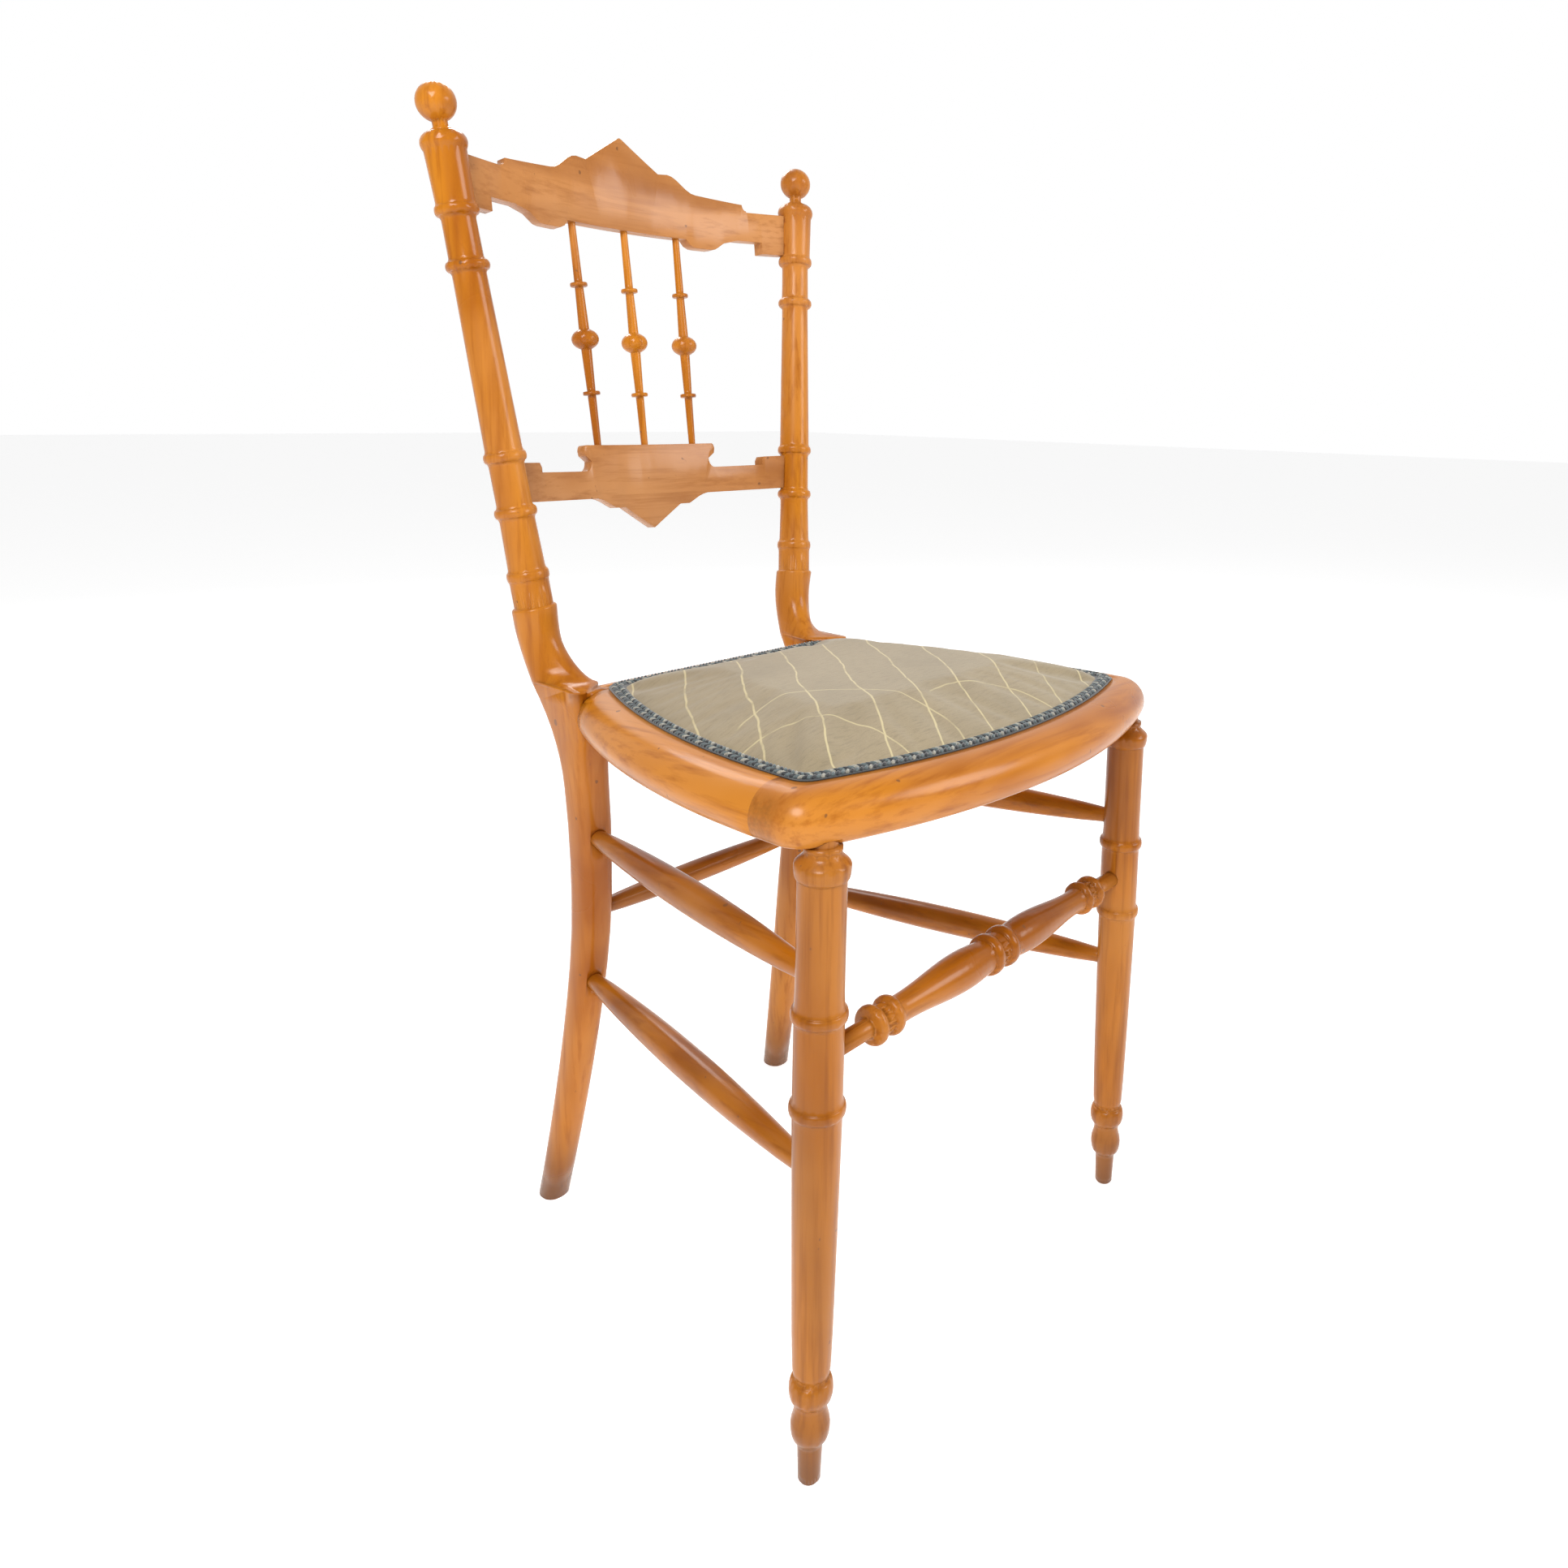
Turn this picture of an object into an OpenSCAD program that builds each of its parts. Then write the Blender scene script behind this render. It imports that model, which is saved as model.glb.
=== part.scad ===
// Turned wooden side chair with a fretted back, three thin back spindles and a stuffed seat.
// Millimetres. The floor is z = 0, the front of the chair faces -Y, and x = 0 is its plane of symmetry.
// The places below are measured from a point on the floor between the four feet, called the middle here.

/* [Seat frame] */
// Height of the top of the seat frame above the floor
seat_top_z = 445; // [430:1:465]
// Thickness of the seat rails
frame_h = 33; // [28:1:38]
// How far the middle of the front edge lies in front of the middle
seat_front_reach = 198; // [185:1:215]
// Bow of the front edge over its half chord
front_bow = 28; // [15:1:40]
// Half chord over which the front bow is measured
front_half_chord = 172; // [160:1:180]
// Half width of the frame towards the front
frame_front_half = 206; // [190:1:215]
// Distance behind the middle of the front edge at which the front half width is measured
side_front_gap = 63; // [55:1:75]
// Half width of the frame where it meets the rear posts
frame_rear_half = 148; // [142:1:156]
// How far behind the middle the side rails end at the posts
frame_end_y = 120; // [110:1:130]
// Bow of each side rail over its length
side_bow = 15; // [8:1:25]
// Radius of the front corners seen from above
corner_r = 25; // [20:1:36]
// How far behind the middle the rear edge of the back rail lies
back_rail_y = 152; // [146:1:160]
// Width of the back rail
back_rail_w = 43; // [38:1:48]
// Depth of the rounding on the top of the outer edge
nose_top_depth = 20; // [12:1:22]
// Depth of the rounding on the underside of the outer edge
nose_low_depth = 11; // [6:1:16]
// Height of the fullest line of the edge above the underside
nose_z = 14; // [10:1:18]
// Distance behind the middle of the front edge at which the side rails meet the front rail
rail_joint_gap = 76; // [74:1:86]

/* [Seat upholstery] */
// Distance from the outer edge of the frame to the edge of the upholstery
border_w = 27; // [20:1:32]
// Distance from the rear edge of the frame to the edge of the upholstery
rear_border_w = 24; // [18:0.5:27]
// Width of the ledge that carries the webbing
ledge_w = 22; // [18:1:26]
// Depth of the rebate in the top of the frame
rebate_depth = 5; // [4.8:0.1:6]
// Height of the crown of the seat above the frame
crown_h = 15; // [8:1:24]
// Thickness of the cover cloth
cover_t = 1; // [0.8:0.1:1.4]
// Width of the braided gimp
gimp_w = 12; // [8:0.5:14]
// Thickness of the braided gimp
gimp_t = 2.4; // [2:0.1:4]
// Width of one webbing strip
webbing_w = 50; // [40:1:54]
// Thickness of the webbing
webbing_t = 0.9; // [0.7:0.1:1]
// Distance between the middles of neighbouring strips that run front to back
webbing_pitch_x = 82; // [76:1:86]
// Distance between the middles of neighbouring strips that run side to side
webbing_pitch_y = 76; // [70:1:78]
// Thickness of the hessian over the webbing
hessian_t = 0.5; // [0.4:0.1:0.6]

/* [Front legs] */
// How far each front foot stands outside its top
foot_splay = 5; // [0:0.5:12]
// How far each front foot stands behind its top
foot_setback = 3; // [-4:0.5:8]
// Distance of each front leg from the side of the frame
leg_side_inset = 27.5; // [25:0.5:31]
// Distance of each front leg behind the middle of the front edge
leg_front_inset = 43; // [40:1:48]
// Radius of the foot where it meets the floor
foot_r = 7.1; // [6:0.1:9]
// Radius at the top of the foot pin
pin_r = 8; // [6.5:0.1:9.5]
// Height of the foot pin
pin_h = 29; // [24:1:32]
// Radius of the small skirt above the pin
skirt_r = 12.3; // [11:0.1:14]
// Height of the skirt above the floor
skirt_z = 39.5; // [37:0.5:42]
// Radius of the cove between the skirt and the foot bead
foot_cove_r = 10.1; // [8.5:0.1:11]
// Radius of the foot bead
foot_bead_r = 13.8; // [12:0.1:15.5]
// Height of the foot bead above the floor
foot_bead_z = 64; // [62:0.5:67]
// Radius at the lower end of the long taper
taper_low_r = 12; // [10.5:0.1:13]
// Radius at the upper end of the long taper
taper_top_r = 15.1; // [13.5:0.1:16]
// Distance of the lower ring under the seat frame
leg_low_ring_drop = 161.5; // [150:0.5:172]
// Distance of the upper ring under the seat frame
leg_top_ring_drop = 102.5; // [92:0.5:112]
// Radius of both rings
leg_ring_r = 17.2; // [16.2:0.1:19]
// Radius of the leg just under the collar
leg_top_r = 14.6; // [13.5:0.1:16]
// Radius of the collar under the seat frame
collar_r = 16.9; // [15.5:0.1:18.5]
// Distance of the collar under the seat frame
collar_drop = 11.5; // [10:0.5:14]
// Radius of the small top ring against the seat frame
top_ring_r = 11.6; // [10.5:0.1:13]
// Radius of the tenon at the top of the leg
leg_tenon_r = 9; // [7.5:0.5:10]
// Length of the tenon at the top of the leg
leg_tenon_l = 17; // [14:1:18]

/* [Rear posts] */
// Distance of each rear foot from the middle of the chair
rear_foot_x = 130; // [122:1:138]
// How far behind the middle the rear feet stand
rear_foot_y = 196; // [186:1:206]
// Radius of the rear foot
rear_foot_r = 11.5; // [10.5:0.5:13]
// Distance from the middle at the narrowest place of the legs
waist_x = 116.5; // [112:0.5:122]
// Distance of the narrowest place of the legs under the seat frame
waist_drop = 180; // [160:1:200]
// How far behind the middle the leg bends furthest forward
bend_y = 144.5; // [140:0.5:150]
// Distance under the seat frame at which the leg bends furthest forward
bend_drop = 47; // [40:1:60]
// Half width of the post at the seat
post_half_w = 14.5; // [13:0.5:16]
// Distance from the middle to the ends of the back rail in the posts
post_inner_x = 120; // [118:0.5:122]
// Distance of the nose of the ear from the middle of the chair
ear_nose_x = 122; // [118:0.5:126]
// How far behind the middle the nose of the ear lies
ear_nose_y = 143; // [138:0.5:148]
// Radius of the nose of the ear
ear_nose_r = 8; // [6:0.5:10]
// How far the foot of the ear reaches over the side rail
ear_reach = 1; // [0.5:0.5:4]
// How far behind the middle the back of the post lies at the top of the seat frame
post_back_y = 187.5; // [182:0.5:194]
// Height of the shoulder, where the turned upright begins, above the seat frame
shoulder_rise = 56; // [48:1:66]
// Distance of the shoulder from the middle of the chair
shoulder_x = 139.9; // [134:0.1:146]
// How far behind the middle the shoulder lies
shoulder_y = 182.6; // [176:0.1:190]
// Radius of the shoulder
shoulder_r = 16.4; // [15:0.1:18]
// Length of the upright from the shoulder to the middle of the ball
upright_l = 367.7; // [355:0.1:380]
// Sideways lean of the upright in degrees
upright_spread = 6.3; // [3:0.1:9]
// Backward lean of the upright in degrees
upright_recline = 6.25; // [4:0.05:10]
// Distances of the five rings above the shoulder
ring_heights = [26.1, 74.2, 115.6, 254.4, 293.2];
// Radius of the upright rings
upright_ring_r = 15.6; // [14.6:0.1:17]
// Radius of the upright between the shoulder and the first ring
upright_root_r = 14.4; // [13.4:0.1:15.2]
// Radius of the upright between the lower rings
upright_low_r = 12.9; // [11.5:0.1:14]
// Radius of the long taper above the third ring
upright_mid_r = 13.5; // [12:0.1:14.4]
// Radius of the upright between the two upper rings
upright_top_r = 11.8; // [10.5:0.1:13]
// Radius of the drum at its lower end
drum_low_r = 13.8; // [12.6:0.1:15]
// Radius of the drum at its upper end
drum_top_r = 14.8; // [13.6:0.1:16]
// Distance of the cap ring above the shoulder
cap_h = 340; // [334:0.5:344]
// Radius of the cap ring
cap_r = 16.4; // [15:0.1:18]
// Radius of the neck under the ball
neck_r = 5.4; // [4.5:0.1:7]
// Radius of the ball
ball_r = 14; // [12:0.1:15]

/* [Back rails] */
// Thickness of the two back rails
back_rail_t = 10; // [8:0.5:12]
// Bow of the crest rail between the posts
crest_bow = 31; // [14:1:34]
// Bow of the lower rail between the posts
low_rail_bow = 27; // [12:1:30]
// How far behind the post axis the middle of each rail lies at the posts
rail_setback = 2; // [1:0.5:3]
// Height of the underside of the crest rail above the shoulder
crest_low_h = 304.5; // [302:0.5:308]
// How far the ears of the crest hang below its underside
crest_ear_drop = 7; // [4:0.5:8]
// Height of the ears of the crest
crest_ear_w = 36.5; // [30:0.5:38]
// Rise from the ears to the wings of the crest
crest_wing_rise = 6.5; // [4:0.5:10]
// Rise from the wings to the side humps of the crest
crest_hump_rise = 17.5; // [10:0.5:22]
// Rise from the side humps to the peak of the crest
crest_peak_rise = 23; // [14:1:32]
// Height of the underside of the lower rail above the shoulder
low_rail_low_h = 80.5; // [79.5:0.5:84]
// Height of the arms of the lower rail
low_rail_arm_w = 22.5; // [18:0.5:26]
// Rise from the arms to the ears of the lower rail
low_rail_ear_rise = 7.5; // [4:0.5:8]
// Rise from the arms to the platform under the spindles
platform_rise = 21.2; // [16:0.1:26]
// Half width of the platform
platform_half = 68.5; // [62:0.5:74]
// How far the point hangs under the lower rail
low_point_drop = 27.5; // [20:0.5:34]

/* [Back spindles] */
// Distance of the outer spindles from the middle at the lower rail
spindle_low_x = 50.3; // [44:0.1:56]
// Distance of the outer spindles from the middle at the crest rail
spindle_top_x = 53.8; // [46:0.1:56]
// Radius of the spindles at their ends
spindle_end_r = 2.9; // [2.4:0.1:3.4]
// Radius of the spindles beside the ball
spindle_mid_r = 4.2; // [3.6:0.1:5]
// Radius of the ball on each spindle
spindle_ball_r = 11; // [9:0.1:12.5]
// Half height of the ball on each spindle
spindle_ball_half = 8.5; // [7:0.1:10]
// Radius of the small rings on each spindle
spindle_ring_r = 7; // [6:0.1:8]
// Distance of the small rings from the ball
spindle_ring_gap = 44; // [36:0.5:52]
// Depth of the spindle sockets
spindle_tenon_l = 12; // [8:0.5:14]

/* [Stretchers] */
// Radius of the plain stretchers at their ends
stretcher_end_r = 6.2; // [5:0.1:7]
// Radius of the side stretchers at their middle
side_stretcher_r = 11.4; // [9:0.1:13]
// Radius of the back stretcher at its middle
back_stretcher_r = 9.4; // [8:0.1:11]
// Distance of the upper side stretchers under the seat frame, at the front leg
upper_stretcher_drop = 82; // [76:1:90]
// Distance of the lower side stretchers under the seat frame, at the front leg
lower_stretcher_drop = 206; // [196:1:216]
// Fall of the side stretchers from the front leg to the rear leg
stretcher_fall = 4; // [0:0.5:8]
// Distance of the back stretcher under the seat frame
back_stretcher_drop = 154; // [142:1:168]
// Distance of the front stretcher under the seat frame
front_stretcher_drop = 131; // [126:1:138]
// Distance that the turning of the front stretcher sits off the middle
front_stretcher_offset = 0; // [-16:1:16]
// Radius of the front stretcher at its ends
front_stretcher_end_r = 6.3; // [5:0.1:7]
// Radius of the two middle beads of the front stretcher
middle_bead_r = 14.6; // [13:0.1:16]
// Radius of the fullest place of each vase
vase_full_r = 13.2; // [11:0.1:14.5]
// Radius of the narrow end of each vase
vase_thin_r = 8.9; // [7.5:0.1:10]
// Distance of the end beads from the middle of the turning
end_bead_gap = 124; // [116:1:130]
// Radius of the end beads
end_bead_r = 12.8; // [11:0.1:14]
// Distance from the middle of each leg at which the stretcher sockets end
socket_reach = 4; // [2:0.5:6]

/* [Fits] */
// Radial clearance of glued round joints
glue_gap = 0.1; // [0.05:0.01:0.2]
// Clearance between two flat shoulders
shoulder_gap = 0.2; // [0.1:0.05:0.4]
// Clearance at the bottom of a socket
end_gap = 0.5; // [0.3:0.1:1]
// Radius of the seat frame dowels
dowel_r = 4; // [3:0.5:4.5]
// Length of the seat frame dowels
dowel_l = 36; // [30:1:38]

/* [Hidden] */

$fn = 64;
// The seam of a round face is turned away from places where a slanting cut would end on it
seam_turn = 90;
honey = [0.78, 0.50, 0.24];
olive = [0.62, 0.57, 0.43];
slate = [0.30, 0.34, 0.36];
jute = [0.74, 0.62, 0.42];
steel = [0.45, 0.45, 0.47];
// How far a cut reaches past what it cuts: far, and just a little
overrun = 80;
skin = 1;
// A narrow flat between two turned members
land = 1;
frame_low_z = seat_top_z - frame_h;
side_front_reach = seat_front_reach - side_front_gap;
front_top_x = frame_front_half - leg_side_inset;
front_top_reach = seat_front_reach - leg_front_inset;
front_foot_x = front_top_x + foot_splay;
front_foot_reach = front_top_reach - foot_setback;
leg_low_ring_z = frame_low_z - leg_low_ring_drop;
leg_top_ring_z = frame_low_z - leg_top_ring_drop;
waist_z = frame_low_z - waist_drop;
bend_z = frame_low_z - bend_drop;
shoulder_z = seat_top_z + shoulder_rise;
crest_ear_low_h = crest_low_h - crest_ear_drop;
crest_ear_top_h = crest_ear_low_h + crest_ear_w;
crest_wing_h = crest_ear_top_h + crest_wing_rise;
crest_hump_h = crest_wing_h + crest_hump_rise;
crest_peak_h = crest_hump_h + crest_peak_rise;
low_rail_arm_h = low_rail_low_h + low_rail_arm_w;
low_rail_ear_h = low_rail_arm_h + low_rail_ear_rise;
platform_h = low_rail_arm_h + platform_rise;
low_point_h = low_rail_low_h - low_point_drop;
upper_stretcher_z = frame_low_z - upper_stretcher_drop;
lower_stretcher_z = frame_low_z - lower_stretcher_drop;
back_stretcher_z = frame_low_z - back_stretcher_drop;
front_stretcher_z = frame_low_z - front_stretcher_drop;
LEFT = -1;
RIGHT = 1;

// Small shared curves
bead_steps = 8;
cove_steps = 3;
function mix(a, b, t) = a + (b - a) * t;
function ease(t) = (1 - cos(180 * t)) / 2;
function sweep(c, r, a0, a1, n) =
    [for (i = [0 : n]) c + r * [cos(mix(a0, a1, i / n)), sin(mix(a0, a1, i / n))]];
function flip(points) = [for (i = [len(points) - 1 : -1 : 0]) points[i]];
function both_sides(half) = concat(half, [for (p = flip(half)) if (p.x != 0) [-p.x, p.y]]);

// A half-round bead as [radius, height] pairs, and a curve that leaves both of its ends upright
function bead(z, half, root, top) = [for (i = [0 : bead_steps]) let (a = mix(-90, 90, i / bead_steps))
    [mix(root, top, cos(a)), z + half * sin(a)]];
function ogee(p, q, n) = [for (i = [1 : n - 1]) [mix(p[0], q[0], ease(i / n)), mix(p[1], q[1], i / n)]];

// A ring turned on a post: a cove up to the bead, the bead, and a cove back to the post
ring_reach = 6.5;
ring_core = 3.6;
ring_lip_share = 0.35;
function ring(z, below, above, top) =
    let (lip_low = mix(below, top, ring_lip_share), lip_top = mix(above, top, ring_lip_share))
    concat(
        [for (i = [0 : cove_steps]) let (t = i / cove_steps)
            [mix(below, lip_low, t * t), z - mix(ring_reach, ring_core, t)]],
        [for (i = [1 : bead_steps - 1]) let (a = mix(-90, 90, i / bead_steps))
            [mix(a < 0 ? lip_low : lip_top, top, cos(a)), z + ring_core * sin(a)]],
        [for (i = [0 : cove_steps]) let (t = i / cove_steps)
            [mix(lip_top, above, 1 - (1 - t) * (1 - t)), z + mix(ring_core, ring_reach, t)]]);
module turned(points)
    rotate_extrude($fn = 96)
        polygon(concat([[0, points[0][1]]], points, [[0, points[len(points) - 1][1]]]));

// Puts a piece that is made along +Z on the line from p to q
module along(p, q) {
    d = q - p;
    translate(p) rotate([0, acos(d.z / norm(d)), atan2(d.y, d.x)]) children();
}
// Pieces that come in pairs are made on the left, and mirrored for the right
module on_side(side) mirror([side == RIGHT ? 1 : 0, 0, 0]) children();
function flipped(p) = [-p.x, p.y, p.z];

// The finished chair is moved along y so that its box is centred on the origin
rearmost_y = shoulder_y + crest_peak_h * sin(upright_recline)
    + (rail_setback + crest_bow + back_rail_t / 2) * cos(upright_recline);
centre_y = (rearmost_y - seat_front_reach) / 2;
module centred() translate([0, -centre_y, 0]) children();

// A solid skinned over a stack of rings, lowest first, each ring anticlockwise from above
module stacked(rings) {
    k = len(rings[0]);
    m = len(rings);
    edges = [for (j = [0 : m - 2], i = [0 : k - 1]) [j * k + i, j * k + (i + 1) % k]];
    polyhedron(points = [for (r = rings, p = r) p], faces = concat(
        [[for (i = [0 : k - 1]) i]],
        [for (e = edges) [e[0], e[0] + k, e[1] + k]],
        [for (e = edges) [e[0], e[1] + k, e[1]]],
        [[for (i = [k - 1 : -1 : 0]) (m - 1) * k + i]]));
}

// Seat frame outline: one circle for each side, one for the front, and a fillet at each corner
function bow_radius(half, bow) = (half * half + bow * bow) / (2 * bow);
function chord_circle(p, q, bow) =
    let (d = q - p, r = bow_radius(norm(d) / 2, bow), n = [-d.y, d.x] / norm(d))
    [(p + q) / 2 + n * (r - bow), r];
side_circle = chord_circle([-frame_rear_half, frame_end_y], [-frame_front_half, -side_front_reach], side_bow);
side_c = side_circle[0];
side_r = side_circle[1];
front_r = bow_radius(front_half_chord, front_bow);
front_c = [0, front_r - seat_front_reach];
function circles_meet(c0, r0, c1, r1) =
    let (d = c1 - c0, l = norm(d), a = (l * l + r0 * r0 - r1 * r1) / (2 * l), h = sqrt(r0 * r0 - a * a))
    c0 + d * a / l + [d.y, -d.x] * h / l;
function corner_c(inset, r) = circles_meet(front_c, front_r - inset - r, side_c, side_r - inset - r);
function side_x(y, inset) =
    side_c.x - sqrt((side_r - inset) * (side_r - inset) - (y - side_c.y) * (y - side_c.y));
function front_y(x, inset) = front_c.y - sqrt((front_r - inset) * (front_r - inset) - x * x);
function rear_corner_c(inset, rear_y, r) = [side_x(rear_y - r, inset + r), rear_y - r];
function heading(c, p) = let (a = atan2(p.y - c.y, p.x - c.x)) a < 0 ? a + 360 : a;
function left_outline(inset, rear_y, r_front, r_rear, n) =
    let (cf = corner_c(inset, r_front), cr = rear_corner_c(inset, rear_y, r_rear),
        a_rear = heading(side_c, cr), a_side = heading(side_c, cf), a_front = heading(front_c, cf),
        side = sweep(side_c, side_r - inset, a_rear, a_side, 2 * n),
        front = sweep(front_c, front_r - inset, a_front, 270, 2 * n))
    concat(sweep(cr, r_rear, 90, a_rear, n), [for (i = [1 : 2 * n - 1]) side[i]],
        sweep(cf, r_front, a_side, a_front, n),
        [for (i = [1 : 2 * n]) [i == 2 * n ? 0 : front[i].x, front[i].y]]);
function outline(inset, rear_y, r_front, r_rear, n) =
    both_sides(left_outline(inset, rear_y, r_front, r_rear, n));

opening_inset = border_w + ledge_w;
opening_rear_y = back_rail_y - back_rail_w;
opening_corner_r = 3;
rebate_rear_y = back_rail_y - rear_border_w;
trim_front_r = 13;
trim_rear_r = 19;
trim_gap = 0.4;
rail_joint_y = rail_joint_gap - seat_front_reach;
rail_depth = opening_inset + opening_corner_r + skin;
outline_steps = 5;
tail_angle = 2;

// Section of a rail: flat top, rounded outer edge, flat underside; x is the distance from the arc's centre
nose_steps = 9;
function nose(r, depth) = concat(
    [[r - depth, 0]],
    [for (i = [0 : nose_steps]) let (a = mix(-90, 0, i / nose_steps))
        [r - nose_low_depth * (1 - cos(a)), nose_z * (1 + sin(a))]],
    [for (i = [1 : nose_steps]) let (a = mix(0, 90, i / nose_steps))
        [r - nose_top_depth * (1 - cos(a)), nose_z + (frame_h - nose_z) * sin(a)]],
    [[r - depth, frame_h]]);
module rail_arc(c, r, a0, a1, depth)
    translate([c.x, c.y, frame_low_z]) rotate([0, 0, a0]) rotate_extrude(angle = a1 - a0, $fn = 360)
        polygon(nose(r, depth));
module seat_opening() {
    translate([0, 0, frame_low_z - overrun]) linear_extrude(frame_h + 2 * overrun)
        polygon(outline(opening_inset, opening_rear_y, opening_corner_r, opening_corner_r, outline_steps));
    translate([0, 0, seat_top_z - rebate_depth]) linear_extrude(rebate_depth + skin)
        polygon(outline(border_w - trim_gap, rebate_rear_y + trim_gap, trim_front_r, trim_rear_r,
            outline_steps));
}

// Dowels of the seat frame: two across each front joint, two and one into each rear post
joint_inset_shares = [0.34, 0.72];
post_dowel_shares = [0.26, 0.72];
post_dowel_share = 0.36;
back_dowel_share = 0.5;
dowel_z = frame_low_z + frame_h / 2;
post_dowel_x = mix(frame_rear_half, post_inner_x, post_dowel_share);
back_dowel_y = mix(frame_end_y + dowel_l / 2, back_rail_y, back_dowel_share);
back_dowel_l = dowel_l - 2 * dowel_r;
joint_dowels = [for (s = joint_inset_shares) [side_x(rail_joint_y, rail_depth * s), rail_joint_y, dowel_z]];
post_dowels = [for (s = post_dowel_shares) [-post_dowel_x, frame_end_y, frame_low_z + frame_h * s]];
back_dowel = [-post_inner_x, back_dowel_y, dowel_z];
module front_dowels(clear, extra)
    for (p = joint_dowels) translate(p - [0, dowel_l / 2 + extra, 0]) rotate([-90, 0, 0])
        cylinder(r = dowel_r + clear, h = dowel_l + 2 * extra);
module rear_dowels(clear, extra)
    for (p = post_dowels) translate(p - [0, dowel_l / 2 + extra, 0]) rotate([-90, 0, 0])
        cylinder(r = dowel_r + clear, h = dowel_l + 2 * extra);
module side_dowel(clear, extra)
    translate(back_dowel - [back_dowel_l / 2 + extra, 0, 0]) rotate([0, 90, 0])
        cylinder(r = dowel_r + clear, h = back_dowel_l + 2 * extra);

// Webbing: three strips each way; the crosswise ones pass over and under the lengthwise ones
strips = [-1, 0, 1];
ledge_z = seat_top_z - rebate_depth;
weave_gap = 0.15;
weave_lift = webbing_t + weave_gap;
weave_ease = 2;
weave_flat = webbing_w / 2 + weave_ease;
weave_run = 8;
webbing_margin = 3;
middle_y = (opening_rear_y - seat_front_reach + opening_inset) / 2;
function strip_y(j) = middle_y + j * webbing_pitch_y;
function strip_half(j) = -side_x(strip_y(j) + webbing_w / 2, border_w + webbing_margin);
function strip_front(i) = front_y(abs(i) * webbing_pitch_x + webbing_w / 2, border_w + webbing_margin);
function over(i, j) = (i + j) % 2 == 0 ? 1 : -1;
function weave(j) = concat(
    [[-strip_half(j), 0], [-webbing_pitch_x - weave_flat - weave_run, 0]],
    [for (i = strips, e = [-1, 1]) [i * webbing_pitch_x + e * weave_flat, over(i, j) * weave_lift]],
    [[webbing_pitch_x + weave_flat + weave_run, 0], [strip_half(j), 0]]);

// Tacks: two at each end of every strip, and a row that nips the edge of the cover
tack_r = 0.8;
tack_head_r = 2.4;
tack_head_t = 0.5;
tack_l = 7;
pair_share = 0.28;
tack_ledge_share = 0.6;
tack_inset = border_w + ledge_w * tack_ledge_share;
rear_tack_y = mix(rebate_rear_y, opening_rear_y, tack_ledge_share);
pair = [-webbing_w * pair_share, webbing_w * pair_share];
webbing_top_z = ledge_z + webbing_t;
front_web_tacks = [for (i = strips, s = pair) let (x = i * webbing_pitch_x + s)
    [x, front_y(x, tack_inset), webbing_top_z]];
rear_web_tacks = [for (i = strips, s = pair) [i * webbing_pitch_x + s, rear_tack_y, webbing_top_z]];
side_web_tacks = [for (j = strips, s = pair) let (y = strip_y(j) + s)
    [side_x(y, tack_inset), y, webbing_top_z]];

// Heights of the sheets above the webbing
sheet_gap = 0.3;
hessian_z = ledge_z + webbing_t + weave_lift + weave_gap;
margin_z = hessian_z + hessian_t + sheet_gap;
margin_top_z = margin_z + cover_t;
gimp_z = seat_top_z + weave_gap / 2;
cloth_margin = 4.2;
cloth_inset = border_w + cloth_margin;
cover_tack_margin = 2.9;
cover_tack_inset = border_w + cover_tack_margin;
cover_tack_z = margin_top_z + weave_gap;
cover_tack_bite = 5;
cover_tack_l = cover_tack_z - ledge_z + cover_tack_bite;
front_steps = 4;
side_steps = 6;
front_row_share = 0.86;
side_row_share = 0.94;
rear_row_share = 0.74;
row_x = -side_x(rail_joint_y, cover_tack_inset) * front_row_share;
rear_row_y = rebate_rear_y - cover_tack_inset + border_w;
front_cover_tacks = [for (i = [-front_steps : front_steps]) let (x = row_x * i / front_steps)
    [x, front_y(x, cover_tack_inset), cover_tack_z]];
rear_row_pitch = frame_rear_half * rear_row_share / (front_steps + 1);
rear_cover_tacks = [for (i = [-front_steps : front_steps]) [rear_row_pitch * i, rear_row_y, cover_tack_z]];
side_cover_tacks = [for (i = [0 : side_steps])
    let (s = mix(1 - side_row_share, side_row_share, i / side_steps),
        y = mix(rail_joint_y, opening_rear_y, s))
    [side_x(y, cover_tack_inset), y, cover_tack_z]];
module tacks(places, l)
    for (p = places) translate(p - [0, 0, l]) {
        cylinder(r = tack_r, h = l + tack_head_t, $fn = 24);
        translate([0, 0, l]) cylinder(r = tack_head_r, h = tack_head_t, $fn = 24);
    }
module tack_bores(places, l)
    for (p = places) translate(p - [0, 0, l + end_gap])
        cylinder(r = tack_r + glue_gap, h = l + end_gap + skin, $fn = 24);

// Front legs: an axis from the foot to the frame, and the turned outline of the leg
foot_extra = 2;
foot_round = 1.1;
cove_rise = 12;
bead_half = 8;
bead_gap = 2;
taper_start = foot_bead_z + bead_half + bead_gap;
body_low = taper_start + bead_half;
taper_round = 1.3;
collar_half = 9;
neck_drop = 4.5;
function leg_point(z) = let (t = z / frame_low_z)
    [-mix(front_foot_x, front_top_x, t), -mix(front_foot_reach, front_top_reach, t), z];
leg_foot = leg_point(0);
leg_top = leg_point(frame_low_z);
leg_len = norm(leg_top - leg_foot);
leg_end = leg_len - shoulder_gap;
collar_z = leg_len - collar_drop;
taper_power = 0.85;
function leg_body(z) =
    mix(taper_low_r, taper_top_r, pow((z - taper_start) / (leg_low_ring_z - taper_start), taper_power));
body_steps = 8;
body_top = leg_low_ring_z - ring_reach - land;
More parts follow.
